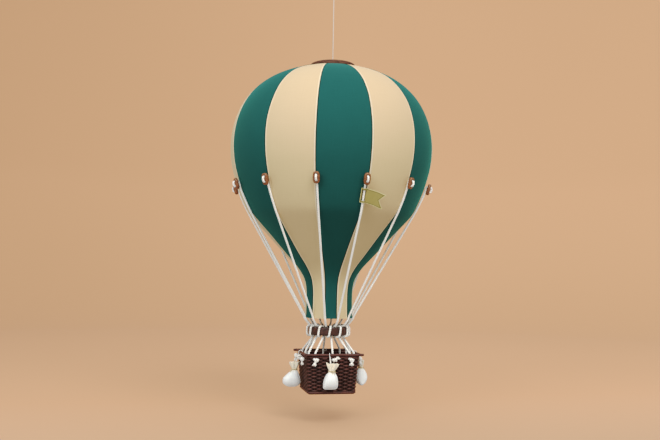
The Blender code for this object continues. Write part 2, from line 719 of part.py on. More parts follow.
def build():
    for obj in list(bpy.data.objects):
        bpy.data.objects.remove(obj)
    parts = make_collection("hot_air_balloon")
    cutters = make_collection("cutters")
    cutters.hide_render = True

    green = make_material("green_cotton", (0.017, 0.104, 0.09), 0.9)
    cream = make_material("cream_cotton", (0.62, 0.53, 0.38), 0.9)
    board = make_material("shell_board", (0.45, 0.36, 0.26), 0.85)
    walnut = make_material("walnut", (0.16, 0.075, 0.044), 0.5)
    toggle_wood = make_material("toggle_wood", (0.26, 0.08, 0.03), 0.4)
    cotton = make_material("cotton_rope", (0.87, 0.83, 0.73), 0.9)
    wicker = make_material("wicker", (0.045, 0.018, 0.012), 0.6)
    canvas = make_material("bag_canvas", (0.85, 0.86, 0.82), 0.9)
    string = make_material("string", (0.72, 0.66, 0.56), 0.9)
    felt = make_material("pennant_cloth", (0.48, 0.4, 0.14), 0.8)

    build_string(parts, string)
    build_disc(parts, walnut)
    build_envelope(parts, board, (green, cream))
    build_toggles(parts, cutters, toggle_wood)
    build_ropes(parts, cutters, cotton)
    build_ring(parts, walnut)
    build_basket(parts, cutters, wicker)
    build_sandbags(parts, canvas, string)
    build_pennant(parts, felt)


build()
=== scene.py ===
import math
import random

import bmesh
import bpy
import numpy as np
from mathutils import Matrix, Vector, noise


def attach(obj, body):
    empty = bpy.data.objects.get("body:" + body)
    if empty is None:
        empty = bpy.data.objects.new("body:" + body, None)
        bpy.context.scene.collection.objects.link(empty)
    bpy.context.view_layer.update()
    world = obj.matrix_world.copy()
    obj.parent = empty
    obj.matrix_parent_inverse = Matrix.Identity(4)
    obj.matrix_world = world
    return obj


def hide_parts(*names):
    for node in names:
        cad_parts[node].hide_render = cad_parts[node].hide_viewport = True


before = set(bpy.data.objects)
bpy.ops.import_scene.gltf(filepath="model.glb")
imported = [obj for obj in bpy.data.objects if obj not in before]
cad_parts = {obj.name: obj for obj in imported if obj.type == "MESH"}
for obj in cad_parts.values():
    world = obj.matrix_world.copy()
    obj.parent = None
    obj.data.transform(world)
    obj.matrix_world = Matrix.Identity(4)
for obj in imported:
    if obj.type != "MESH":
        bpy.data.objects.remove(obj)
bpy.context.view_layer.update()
scene = bpy.context.scene

# Camera
# It stands where the photograph was taken from, level with the lower part of the envelope and twelve
# degrees round to the left of the front, and looks up by four degrees.
camera_data = bpy.data.cameras.new("camera")
camera_data.lens = 42.545
camera_data.sensor_width = 36
camera_data.shift_x = 0.00136
camera = bpy.data.objects.new("camera", camera_data)
camera.location = (-0.2441, -1.1483, -0.445)
camera.rotation_euler = (math.radians(94.03), math.radians(-1), math.radians(-12))
scene.collection.objects.link(camera)
scene.camera = camera

# Hanging string
# A three-ply cotton string holds the balloon up, taut. It leaves the middle of the wooden disc and ends
# above the picture in an overhand knot and a loop for the hook.
STRING_RADIUS = 0.00075
STRING_TOP = -0.0183
STRING_BOTTOM = -0.1332
DISC_TOP = -0.125
LOOP_KNOT = -0.01525
STRING_LAY = 0.0036
LOOP_RADIUS = 0.0045
LOOP_MIDDLE = STRING_RADIUS - LOOP_RADIUS
LOOP_PINCH = 0.0062
LOOP_KNOT_RADIUS = 0.00135
LOOP_KNOT_HEIGHT = 0.0034
LOOP_KNOT_TURNS = 2.6


def dye(red, green, blue):
    """A colour from its 8-bit sRGB values."""
    linear = [((c / 255 + 0.055) / 1.055) ** 2.4 if c > 10 else c / 3294.6 for c in (red, green, blue)]
    return (*linear, 1.0)


def node(tree, kind, inputs=(), **settings):
    """Adds a shader node with these settings, and sets or links its inputs."""
    made = tree.nodes.new("ShaderNode" + kind)
    for key, value in settings.items():
        setattr(made, key, value)
    for key, value in dict(inputs).items():
        if isinstance(value, bpy.types.NodeSocket):
            tree.links.new(value, made.inputs[key])
        else:
            made.inputs[key].default_value = value
    return made


def sums(operation, first, second=0.0, third=0.0, clamp=False):
    """One step of arithmetic in a shader."""
    inputs = {0: first, 1: second, 2: third}
    tree = next(value.id_data for value in inputs.values() if isinstance(value, bpy.types.NodeSocket))
    return node(tree, "Math", inputs, operation=operation, use_clamp=clamp).outputs[0]


def blended(amount, first, second):
    """A colour between two others."""
    mix = node(amount.id_data, "Mix", {"Factor": amount, "A": first, "B": second}, data_type="RGBA")
    return mix.outputs["Result"]


def mottle(vector, scale=1.0, detail=1.0, stretch=None):
    """Cloudy noise from 0 to 1, first scaled differently along each axis where a stretch is given."""
    tree = vector.id_data
    if stretch:
        vector = node(tree, "Mapping", {"Vector": vector, "Scale": stretch}).outputs[0]
    return node(tree, "TexNoise", {"Vector": vector, "Scale": scale, "Detail": detail}).outputs["Fac"]


def finish(name, **sockets):
    """A material with its plain values set on the Principled shader, and its tree and shader."""
    material = bpy.data.materials.new(name)
    material.use_nodes = True
    shader = material.node_tree.nodes["Principled BSDF"]
    for socket, value in sockets.items():
        shader.inputs[socket.replace("_", " ")].default_value = value
    return material, material.node_tree, shader


def surface(shader, colour, height, strength, depth):
    """Gives a shader its colour and a fine relief of about that depth."""
    tree = shader.id_data
    tree.links.new(colour, shader.inputs["Base Color"])
    relief = node(tree, "Bump", {"Height": height, "Strength": strength, "Distance": depth})
    tree.links.new(relief.outputs[0], shader.inputs["Normal"])


def effect(name, inputs, outputs):
    """An empty shader node group with named inputs and outputs, and its two end nodes."""
    group = bpy.data.node_groups.new(name, "ShaderNodeTree")
    for title, kind in inputs.items():
        group.interface.new_socket(title, in_out="INPUT", socket_type="NodeSocket" + kind)
    for title, kind in outputs.items():
        group.interface.new_socket(title, in_out="OUTPUT", socket_type="NodeSocket" + kind)
    return group, group.nodes.new("NodeGroupInput").outputs, group.nodes.new("NodeGroupOutput").inputs


def lengths_along(route):
    """The length of a route up to each of its points."""
    return np.concatenate([[0], np.cumsum(np.linalg.norm(np.diff(route, axis=0), axis=1))])


def evenly(points, gap):
    """Points along a route, about a fixed gap apart."""
    route = np.array([tuple(p) for p in points])
    along = lengths_along(route)
    steps = max(2, round(along[-1] / gap))
    places = np.linspace(0, along[-1], steps + 1)
    return np.stack([np.interp(places, along, route[:, axis]) for axis in range(3)], axis=1)


def rounded(points, reach, steps=5):
    """The route with each corner rounded over at most that length either side of it."""
    points = [Vector(p) for p in points]
    route = [points[0]]
    for before, corner, after in zip(points, points[1:], points[2:]):
        back, ahead = before - corner, after - corner
        start = corner + back.normalized() * min(reach, back.length * 0.48)
        end = corner + ahead.normalized() * min(reach, ahead.length * 0.48)
        for step in range(steps + 1):
            t = step / steps
            route.append(start * (1 - t) ** 2 + corner * 2 * t * (1 - t) + end * t * t)
    return route + [points[-1]]


def cross_frames(route):
    """Two directions across a route at each of its points, which don't spin round it."""
    ways = np.gradient(route, axis=0)
    ways /= np.linalg.norm(ways, axis=1)[:, None]
    side = np.cross(ways[0], (0.0, 0.0, 1.0) if abs(ways[0][2]) < 0.9 else (1.0, 0.0, 0.0))
    sides = []
    for way in ways:
        side = side - way * side.dot(way)
        side = side / np.linalg.norm(side)
        sides.append(side)
    sides = np.array(sides)
    return sides, np.cross(ways, sides)


def built(name, points, faces, uvs, mark, values):
    """A smooth piece from its points and faces, with a UV map and one named value at each point."""
    mesh = bpy.data.meshes.new(name)
    mesh.from_pydata(points, [], faces)
    layer = mesh.uv_layers.new(name="UVMap")
    layer.data.foreach_set("uv", np.array(uvs, np.float32).reshape(-1))
    marks = mesh.attributes.new(mark, "FLOAT", "POINT")
    marks.data.foreach_set("value", np.array(values, np.float32))
    mesh.shade_smooth()
    piece = bpy.data.objects.new(name, mesh)
    scene.collection.objects.link(piece)
    return piece


class Bundle:
    """Tubes laid beside each other and gathered into one mesh, with a UV map round and along each."""

    def __init__(self):
        self.points, self.faces, self.marks, self.proud = [], [], [], []

    def tube(self, route, radius, sides=6, flat=1.0, level=None, proud=1.0):
        """Adds a closed tube. A flat one is that many times as thick in the level direction."""
        route = np.asarray(route, float)
        count = len(route)
        radii = np.broadcast_to(np.asarray(radius, float), (count,))[:, None, None]
        across, up = cross_frames(route) if level is None else level
        angles = np.arange(sides) * 2 * math.pi / sides
        ring = across[:, None] * np.cos(angles)[:, None] * flat + up[:, None] * np.sin(angles)[:, None]
        first = len(self.points)
        self.points.extend((route[:, None] + ring * radii).reshape(-1, 3).tolist())
        # proud: a value from 0 to 1 kept in the mesh, which the wicker uses to paint shade where the weave
        # lies back
        self.proud.extend(np.repeat(np.broadcast_to(proud, (count,)), sides).tolist())
        along = lengths_along(route)
        for step in range(count - 1):
            for k in range(sides):
                a, b = first + step * sides + k, first + step * sides + (k + 1) % sides
                self.faces.append((a, b, b + sides, a + sides))
                u, v = k / sides, (k + 1) / sides
                near, far = along[step], along[step + 1]
                self.marks += [(u, near), (v, near), (v, far), (u, far)]
        last = first + (count - 1) * sides
        self.faces += [tuple(range(first + sides - 1, first - 1, -1)), tuple(range(last, last + sides))]
        self.marks += [(0.0, 0.0)] * sides + [(0.0, along[-1])] * sides

    def rope(self, route, radius, lay, strands=3, sides=6, steps=9, turn=0.0):
        """Adds strands twisted round a route. The lay is the length of one turn."""
        route = evenly(route, lay / steps)
        across, up = cross_frames(route)
        along = lengths_along(route)
        share = 1 / math.sin(math.pi / strands)
        thick = radius / (1 + share) * 1.16
        for strand in range(strands):
            angle = (along / lay * 2 * math.pi + turn + strand * 2 * math.pi / strands)[:, None]
            centres = route + (radius - thick) * (across * np.cos(angle) + up * np.sin(angle))
            self.tube(centres, thick, sides)

    def mesh(self, name):
        """The piece, with its UV map, and shaded smooth."""
        return built(name, self.points, self.faces, self.marks, "proud", self.proud)


fibre, fibre_in, fibre_out = effect("fibre", {"Vector": "Vector"}, {"Height": "Float", "Shade": "Float"})
fibre.links.new(mottle(fibre_in["Vector"], detail=2.0, stretch=(9, 2600, 1)), fibre_out["Height"])
fibre.links.new(mottle(fibre_in["Vector"], scale=2.0, stretch=(1, 90, 1)), fibre_out["Shade"])


def yarn(name, light, dark, rough):
    """Twisted cotton: fine fibres along each strand, and a little soiling."""
    material, tree, shader = finish(
        name, Roughness=rough, Sheen_Weight=0.6, Sheen_Roughness=0.5, Subsurface_Weight=0.2,
        Subsurface_Radius=(0.0012, 0.0011, 0.001),
    )
    uv = node(tree, "UVMap", uv_map="UVMap").outputs[0]
    hair = node(tree, "Group", {"Vector": uv}, node_tree=fibre).outputs
    colour = blended(hair["Shade"], dark, light)
    surface(shader, colour, hair["Height"], strength=0.4, depth=0.0002)
    return material


string_yarn = yarn("string_yarn", dye(226, 214, 198), dye(196, 182, 164), rough=0.85)

loop_bundle = Bundle()
loop_route = [(0.0, 0.0, LOOP_KNOT - 0.001)]
for angle in range(-60, 241, 30):
    turn = math.radians(angle)
    if angle in (-60, 240):
        loop_route.append((LOOP_RADIUS * math.cos(turn) / 4, 0.0, LOOP_MIDDLE - LOOP_PINCH))
    else:
        loop_route.append((LOOP_RADIUS * math.cos(turn), 0.0, LOOP_MIDDLE + LOOP_RADIUS * math.sin(turn)))
loop_route.append(loop_route[0])
loop_bundle.rope(rounded(loop_route, 0.0012), STRING_RADIUS, STRING_LAY)
knot_route = []
for step in range(40):
    share = step / 39
    angle = share * LOOP_KNOT_TURNS * 2 * math.pi
    x, y = LOOP_KNOT_RADIUS * math.cos(angle), LOOP_KNOT_RADIUS * math.sin(angle)
    knot_route.append((x, y, LOOP_KNOT + 0.0016 - LOOP_KNOT_HEIGHT * share))
loop_bundle.rope(knot_route, STRING_RADIUS, STRING_LAY)
string_loop = loop_bundle.mesh("string_loop")
string_loop.data.materials.append(string_yarn)
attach(string_loop, "balloon")
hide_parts("hanging_loop")

string_bundle = Bundle()
string_route = [(0.0, 0.0, STRING_BOTTOM), (0.0, 0.0, STRING_TOP)]
string_bundle.rope(string_route, STRING_RADIUS, STRING_LAY)
twisted_string = string_bundle.mesh("twisted_string")
twisted_string.data.materials.append(string_yarn)
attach(twisted_string, "balloon")
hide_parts("hanging_string")

# Backdrop and light
# A round cove of peach paper stands behind and under the balloon. A large soft lamp in front, above and a
# little to the right, lights it with a cooler one on the left, and the room adds an even light from above.
FLOOR = -0.66
COVE_RADIUS = 1.9
COVE_CURVE = 0.7
COVE_WALL = 1.3
PAPER_SHADE = dye(190, 144, 109)
PAPER_LIGHT = dye(217, 168, 129)
# painted shade: the wall darker low down, and the floor darker near the balloon
PAPER_LOW_SHADE = dye(156, 114, 80)
PAPER_NEAR_SHADE = dye(170, 136, 108)
ROOM_BELOW = (0.47, 0.42, 0.385, 1)
ROOM_ABOVE = (0.84, 0.86, 0.87, 1)
# the picture's tones: deeper shadows and softer highlights than a straight line gives
FILM_WHITE = (1, 0.86)
FILM = [
    (0.0086, 0.004), (0.0195, 0.01), (0.041, 0.024), (0.068, 0.045), (0.112, 0.092), (0.2, 0.2), (0.3, 0.3),
    (0.447, 0.43), (0.659, 0.58), (0.82, 0.705),
]


def fresh(name):
    """Names the primitive that was just added."""
    piece = bpy.context.object
    piece.name = name
    piece.data.name = name
    return piece


bpy.ops.object.select_all(action="DESELECT")
bpy.ops.mesh.primitive_circle_add(vertices=96, radius=COVE_RADIUS, fill_type="NGON", location=(0, 0, FLOOR))
cove = fresh("paper_cove")
bpy.ops.object.mode_set(mode="EDIT")
bpy.ops.mesh.select_mode(type="EDGE")
bpy.ops.mesh.select_all(action="SELECT")
radius = COVE_RADIUS
for step in range(10):
    low, high = math.radians(9 * step), math.radians(9 * step + 9)
    wider = radius + COVE_CURVE * (math.sin(high) - math.sin(low))
    rise = COVE_CURVE * (math.cos(low) - math.cos(high))
    bpy.ops.mesh.extrude_edges_move(TRANSFORM_OT_translate={"value": (0, 0, rise)})
    bpy.ops.transform.resize(value=(wider / radius, wider / radius, 1), center_override=(0, 0, 0))
    radius = wider
bpy.ops.mesh.extrude_edges_move(TRANSFORM_OT_translate={"value": (0, 0, COVE_WALL)})
bpy.ops.object.mode_set(mode="OBJECT")
cove.data.shade_smooth()


def ramp(value, start, end, first=0.0, last=1.0):
    """A value that goes from first to last while another goes from start to end."""
    return node(value.id_data, "MapRange", {0: value, 1: start, 2: end, 3: first, 4: last}).outputs[0]


# the paper glows a little in its own colour: painted light that lifts the shadows on it
paper, paper_tree, paper_shader = finish("peach_paper", Roughness=0.9, Emission_Strength=0.3)
paper_spot = node(paper_tree, "TexCoord").outputs["Object"]
paper_x, paper_y, paper_z = node(paper_tree, "SeparateXYZ", {0: paper_spot}).outputs
paper_patches = sums("MULTIPLY", mottle(paper_spot, scale=0.9), 0.15)
# painted light: the paper lighter towards the right, with random patches of tone; painted shade low on the
# wall and on the floor near the balloon
paper_light_and_patches = sums("ADD", ramp(paper_x, -1.9, 0.6, 0.0, 0.9), paper_patches)
paper_near_shade = ramp(paper_y, -0.3, 0.2, 1.0, 0.0)
paper_low_shade = ramp(paper_z, 0.0, 0.6, 0.32, 0.0)
paper_low_shade = sums("MULTIPLY", paper_low_shade, sums("SUBTRACT", 1.0, paper_near_shade))
paper_near_shade = sums("MULTIPLY", paper_near_shade, 0.9)
paper_colour = blended(paper_light_and_patches, PAPER_SHADE, PAPER_LIGHT)
paper_colour = blended(paper_low_shade, paper_colour, PAPER_LOW_SHADE)
paper_colour = blended(paper_near_shade, paper_colour, PAPER_NEAR_SHADE)
for socket in ("Base Color", "Emission Color"):
    paper_tree.links.new(paper_colour, paper_shader.inputs[socket])
cove.data.materials.append(paper)
cove.visible_diffuse = False
cove.visible_shadow = False


def lamp(name, place, aim, size, power, colour):
    """A square soft lamp that points at a place."""
    light = bpy.data.lights.new(name, "AREA")
    light.size = size
    light.energy = power
    light.color = colour
    holder = bpy.data.objects.new(name, light)
    holder.location = place
    holder.rotation_euler = (Vector(place) - Vector(aim)).to_track_quat("Z", "Y").to_euler()
    scene.collection.objects.link(holder)


lamp("key_lamp", place=(0.25, -1.45, 0.85), aim=(0, 0, -0.38), size=1.0, power=20, colour=(1.0, 0.99, 0.97))
lamp("side_lamp", place=(-1.2, -1.3, 0.45), aim=(0, 0, -0.4), size=1.0, power=13, colour=(0.86, 0.95, 1.0))
world = bpy.data.worlds.new("studio")
world.use_nodes = True
room = world.node_tree
room_up = node(room, "SeparateXYZ", {0: node(room, "TexCoord").outputs["Generated"]}).outputs[2]
room_light = blended(ramp(room_up, -0.7, 0.9), ROOM_BELOW, ROOM_ABOVE)
room.links.new(room_light, room.nodes["Background"].inputs["Color"])
scene.world = world
scene.view_settings.view_transform = "Standard"
scene.view_settings.use_curve_mapping = True
film = scene.view_settings.curve_mapping
film.curves[3].points[-1].location = FILM_WHITE
for light_in, light_out in FILM:
    film.curves[3].points.new(light_in, light_out)
film.update()

# Crown disc
# A turned disc of dark walnut, oiled, closes the top of the envelope. Its rim is rounded over, and the
# string comes up through a hole in its middle.
DISC_THICKNESS = 0.0085
DISC_RADIUS = 0.0345
DISC_HOLE = 0.0011
DISC_EDGE = 0.0021


def choose(piece, kind, test):
    """In edit mode, selects the faces or edges whose middle passes a test, and nothing else."""
    bpy.ops.mesh.select_mode(type=kind)
    bpy.ops.mesh.select_all(action="DESELECT")
    mesh = bmesh.from_edit_mesh(piece.data)
    for part in mesh.faces if kind == "FACE" else mesh.edges:
        if kind == "FACE":
            part.select_set(test(part.calc_center_median(), part.normal))
        else:
            part.select_set(test((part.verts[0].co + part.verts[1].co) / 2, part))
    mesh.select_flush(kind == "EDGE")
    bmesh.update_edit_mesh(piece.data)


def rounding(width, segments, angle=0.9):
    """The bevel that settle applies to edges sharper than an angle."""
    return "BEVEL", {"width": width, "segments": segments, "limit_method": "ANGLE", "angle_limit": angle}


def settle(piece, *modifiers):
    """Applies modifiers, given as their kind and settings, one after the other."""
    bpy.ops.object.select_all(action="DESELECT")
    piece.select_set(True)
    bpy.context.view_layer.objects.active = piece
    for kind, settings in modifiers:
        made = piece.modifiers.new(kind.lower(), kind)
        for key, value in settings.items():
            setattr(made, key, value)
        bpy.ops.object.modifier_apply(modifier=made.name)


def turned_ring(name, outer, inner, top, thickness, edge, corners=96):
    """A flat ring with rounded edges: a cylinder, inset and bridged through, then bevelled."""
    bpy.ops.object.select_all(action="DESELECT")
    middle = top - thickness / 2
    bpy.ops.mesh.primitive_cylinder_add(
        vertices=corners, radius=outer, depth=thickness, location=(0, 0, middle)
    )
    ring = fresh(name)
    bpy.ops.object.transform_apply(location=True, rotation=False, scale=False)
    bpy.ops.object.mode_set(mode="EDIT")
    choose(ring, "FACE", lambda centre, normal: abs(normal.z) > 0.9)
    bpy.ops.mesh.inset(thickness=(outer - inner) * math.cos(math.pi / corners))
    bpy.ops.mesh.delete(type="FACE")
    mesh = bmesh.from_edit_mesh(ring.data)
    for bare in mesh.edges:
        bare.select_set(bare.is_boundary)
    bmesh.update_edit_mesh(ring.data)
    bpy.ops.mesh.bridge_edge_loops()
    bpy.ops.mesh.select_all(action="SELECT")
    bpy.ops.mesh.normals_make_consistent(inside=False)
    bpy.ops.object.mode_set(mode="OBJECT")
    settle(ring, rounding(edge, segments=5))
    ring.data.shade_smooth()
    bpy.ops.object.shade_smooth_by_angle(angle=0.7)
    return ring


grain, grain_in, grain_out = effect(
    "wood_grain", {"Vector": "Vector", "Figure": "Float"}, {"Streak": "Float", "Pore": "Float"}
)
grain_wander = node(grain, "TexNoise", {"Vector": grain_in["Vector"], "Scale": 28.0, "Detail": 1.0})
grain_shift = {0: grain_wander.outputs["Color"], 1: (0.5, 0.5, 0.5)}
grain_shift = node(grain, "VectorMath", grain_shift, operation="SUBTRACT").outputs[0]
grain_bend = node(grain, "VectorMath", {0: grain_shift, "Scale": 0.006}, operation="SCALE").outputs[0]
grain_place = node(grain, "VectorMath", {0: grain_in["Vector"], 1: grain_bend}, operation="ADD").outputs[0]
grain_long = node(grain, "Mapping", {"Vector": grain_place, "Scale": (0.06, 1, 1)}).outputs[0]
grain_figure = {0: grain_long, "Scale": grain_in["Figure"]}
grain_figure = node(grain, "VectorMath", grain_figure, operation="SCALE").outputs[0]
grain_streak = mottle(grain_figure, detail=3.0)
grain_pore = mottle(grain_in["Vector"], stretch=(160, 3600, 3600))
grain.links.new(sums("MULTIPLY_ADD", grain_streak, 2.6, -0.8, clamp=True), grain_out["Streak"])
grain.links.new(sums("GREATER_THAN", grain_pore, 0.62), grain_out["Pore"])


def wood(name, light, dark, figure, rough, coat, turn=(0, 0, 0)):
    """Finished wood: long streaks, open pores, and a coat of oil or lacquer over them."""
    material, tree, shader = finish(name, Roughness=rough, Coat_Weight=coat, Coat_Roughness=0.25)
    spot = node(tree, "TexCoord").outputs["Object"]
    spot = node(tree, "Mapping", {"Vector": spot, "Rotation": turn}).outputs[0]
    figured = node(tree, "Group", {"Vector": spot, "Figure": figure}, node_tree=grain).outputs
    streaked = blended(figured["Streak"], dark, light)
    pored = blended(sums("MULTIPLY", figured["Pore"], 0.35), streaked, dark)
    height = sums("SUBTRACT", figured["Streak"], figured["Pore"])
    surface(shader, pored, height, strength=0.25, depth=0.0003)
    return material


disc = turned_ring("turned_disc", DISC_RADIUS, DISC_HOLE, DISC_TOP, DISC_THICKNESS, DISC_EDGE)
walnut = wood(
    "walnut", dye(118, 80, 60), dye(60, 37, 28), figure=420, rough=0.7, coat=0.0, turn=(0, 0, 0.35)
)
disc.data.materials.append(walnut)
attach(disc, "balloon")
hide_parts("crown_disc")

# Envelope
# Twelve cloth gores, green and cream in turn, are sewn together over a stiff hollow shell. Each seam is
# pressed towards the cream side, where it shows as a narrow raised fold, painted lighter as a highlight,
# beside a fine dark line of painted shade.
CROWN = -0.1338
FIRST_SEAM = -19.5
GORES = 12
GORE_ANGLE = 30
SKIN = 0.002
# radius and drop below the crown, in millimetres
PROFILE = [
    (8, 0), (32, 0.5), (48, 2.9), (62, 6.9), (84, 14.7), (104, 25.4), (122.3, 40.5), (136.5, 60.5),
    (146.8, 86), (151.5, 116), (149.7, 146), (144, 170), (136.4, 192), (130.4, 206), (122.4, 221),
    (109.2, 236), (95, 251), (67.5, 281), (48.3, 302), (39, 317), (35.6, 332), (35.4, 374.5),
]
# how the cloth rises and falls from the seam inwards on each colour, in millimetres
CREAM_FOLD = [
    (0, -1.15), (0.3, -0.3), (0.7, 0.25), (1.2, 0.42), (1.8, 0.4), (2.3, 0.15), (2.8, -0.06), (4, 0),
]
GREEN_EDGE = [(0, -1.15), (0.25, -0.55), (0.6, -0.2), (1.1, -0.06), (2, 0)]
COLUMNS = 12
# beside the disc the cloth lies thinner: by how much, at these distances from the axis
CROWN_RADII = (0.036, 0.046, 0.088, 0.12)
CROWN_THINNING = (0, 0.0014, 0.0014, 0)
HEM_LIFT = 0.0004
HEM_WIDTH = 0.0045
STITCH_LENGTH = 0.0032
STITCH_LANE = 0.0012
# how far the hand-sewn seams wander from their regular bearings, in degrees, at these drops in millimetres
SEAM_DROPS = (4, 20, 40, 65, 100, 175, 276, 345)
SEAM_DRIFTS = {
    0: (0, 0, 0, -0.1, -0.2, -0.7, -1, -1.2), 1: (-7, -4, -2.5, -1.75, -1.45, -1.3, -2.6, -2.7),
    2: (-5.6, -5, -3.8, -2.6, -2.4, -2.3, -2, -1.5), 10: (-1, -1, -1, -1, -1.5, -2, -2, -2),
    11: (5, 3.5, 2.6, 2, 1, 0.3, -3.5, -4),
}


def seam_angle(index, drop):
    """Where a seam runs at that drop in metres below the crown, in radians from the front."""
    drift = np.interp(drop * 1000, SEAM_DROPS, SEAM_DRIFTS.get(index % GORES, (0,) * len(SEAM_DROPS)))
    return math.radians(FIRST_SEAM + GORE_ANGLE * index + drift)


def on_bearing(distance, bearing, height):
    """A point at that distance from the balloon's axis. Bearing 0 is the front and 90 the right."""
    angle = math.radians(bearing)
    return Vector((distance * math.sin(angle), -distance * math.cos(angle), height))


def with_ends(knots):
    """The knots of a curve, and one more beyond each end."""
    return np.concatenate([[2 * knots[0] - knots[1]], knots, [2 * knots[-1] - knots[-2]]])


def envelope_line():
    """The envelope's smooth outline: radius, drop, and its outward normal in two parts, in metres."""
    knots = np.array(PROFILE) / 1000
    padded = with_ends(knots)
    line = []
    for p0, p1, p2, p3 in zip(padded, padded[1:], padded[2:], padded[3:]):
        t1 = math.sqrt(np.linalg.norm(p1 - p0))
        t2 = t1 + math.sqrt(np.linalg.norm(p2 - p1))
        t3 = t2 + math.sqrt(np.linalg.norm(p3 - p2))
        steps = max(2, round(np.linalg.norm(p2 - p1) / 0.0055))
        for step in range(steps):
            t = t1 + (t2 - t1) * step / steps
            a1 = p0 * (t1 - t) / t1 + p1 * t / t1
            a2 = p1 * (t2 - t) / (t2 - t1) + p2 * (t - t1) / (t2 - t1)
            a3 = p2 * (t3 - t) / (t3 - t2) + p3 * (t - t2) / (t3 - t2)
            b1 = a1 * (t2 - t) / t2 + a2 * t / t2
            b2 = a2 * (t3 - t) / (t3 - t1) + a3 * (t - t1) / (t3 - t1)
            line.append(b1 * (t2 - t) / (t2 - t1) + b2 * (t - t1) / (t2 - t1))
    line = np.array(line + [knots[-1]])
    ways = np.gradient(line, axis=0)
    ways /= np.linalg.norm(ways, axis=1)[:, None]
    return np.column_stack([line, ways[:, 1], -ways[:, 0]])


weave, weave_in, weave_out = effect(
    "canvas_weave", {"Vector": "Vector", "Threads": "Float"}, {"Height": "Float", "Slub": "Float"}
)
weave_size = {0: weave_in["Vector"], "Scale": weave_in["Threads"]}
weave_size = node(weave, "VectorMath", weave_size, operation="SCALE").outputs[0]
weave_parts = node(weave, "SeparateXYZ", {0: weave_size}).outputs
weave_warp = sums("SINE", sums("MULTIPLY", weave_parts[0], math.pi))
weave_weft = sums("SINE", sums("MULTIPLY", weave_parts[1], math.pi))
weave_float = sums("ABSOLUTE", sums("MULTIPLY", weave_warp, weave_weft))
slub_warp = mottle(weave_size, stretch=(0.9, 0.03, 1))
slub_weft = mottle(weave_size, stretch=(0.03, 0.9, 1))
weave_slub = sums("MULTIPLY", sums("ADD", slub_warp, slub_weft), 0.5)
weave.links.new(sums("MULTIPLY_ADD", weave_float, 0.6, weave_slub), weave_out["Height"])
weave.links.new(weave_slub, weave_out["Slub"])


def canvas(name, light, dark, fold, line, reach, sheen):
    """Cotton canvas: woven threads, the raised fold at the seam with its own colour, its stitches and the
    dark seam line of painted shade.
    """
    material, tree, shader = finish(
        name, Roughness=0.88, Sheen_Weight=0.3, Sheen_Roughness=0.4, Sheen_Tint=sheen,
        Specular_IOR_Level=0.25,
    )
    uv = node(tree, "UVMap", uv_map="UVMap").outputs[0]
    woven = node(tree, "Group", {"Vector": uv, "Threads": 1400.0}, node_tree=weave).outputs
    edge = node(tree, "Attribute", attribute_name="seam_distance").outputs["Fac"]
    cloud = mottle(node(tree, "TexCoord").outputs["Object"], scale=14.0, detail=2.0)
    tint = sums("MULTIPLY_ADD", woven["Slub"], 0.75, sums("MULTIPLY", cloud, 0.25))
    # next to the seam the colour turns to the fold's colour; on the cream it is lighter, a painted highlight
    # along the fold
    near = sums("MULTIPLY", ramp(edge, 0.0019, 0.0024, 1.0, 0.0), 0.8)
    folded = blended(near, blended(tint, dark, light), fold)
    # the dark line down the seam is painted shade in the seam's groove
    seam_shaded_colour = blended(ramp(edge, reach * 0.4, reach, 1.0, 0.0), folded, line)
    along = node(tree, "SeparateXYZ", {0: uv}).outputs[1]
    stitching = sums("SINE", sums("MULTIPLY", along, 2 * math.pi / STITCH_LENGTH))
    dash = sums("GREATER_THAN", stitching, -0.35)
    lane = sums("COMPARE", edge, STITCH_LANE, 0.00025)
    pucker = sums("MULTIPLY", mottle(uv, stretch=(40, 190, 1)), 2.0)
    height = sums("MULTIPLY", pucker, ramp(edge, 0.001, 0.011, 1.0, 0.0))
    height = sums("MULTIPLY_ADD", dash, lane, height)
    height = sums("MULTIPLY_ADD", woven["Height"], 0.35, height)
    surface(shader, seam_shaded_colour, height, strength=0.35, depth=0.0004)
    return material


# the last colour of each is the seam line, painted shade; the cream's fold colour, lighter than its cloth,
# is a painted highlight
green_canvas = canvas(
    "green_canvas", dye(38, 94, 90), dye(27, 80, 77), dye(33, 88, 85), dye(8, 34, 32),
    reach=0.0011, sheen=(0.15, 0.72, 0.58, 1),
)
cream_canvas = canvas(
    "cream_canvas", dye(218, 194, 153), dye(207, 182, 139), dye(233, 217, 186), dye(80, 62, 42),
    reach=0.0005, sheen=(1, 0.9, 0.7, 1),
)

board, board_tree, board_shader = finish("shell_board", Roughness=0.95)
board_pulp = mottle(node(board_tree, "TexCoord").outputs["Object"], scale=260.0, detail=4.0)
board_colour = blended(board_pulp, dye(150, 124, 92), dye(196, 170, 134))
surface(board_shader, board_colour, board_pulp, strength=0.4, depth=0.0004)
shell_nodes = ["shell_crown", "shell_shoulder", "shell_belly", "shell_flank", "shell_cone", "shell_neck"]
for shell_name in shell_nodes:
    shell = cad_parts[shell_name]
    shell.data.materials.clear()
    shell.data.materials.append(board)

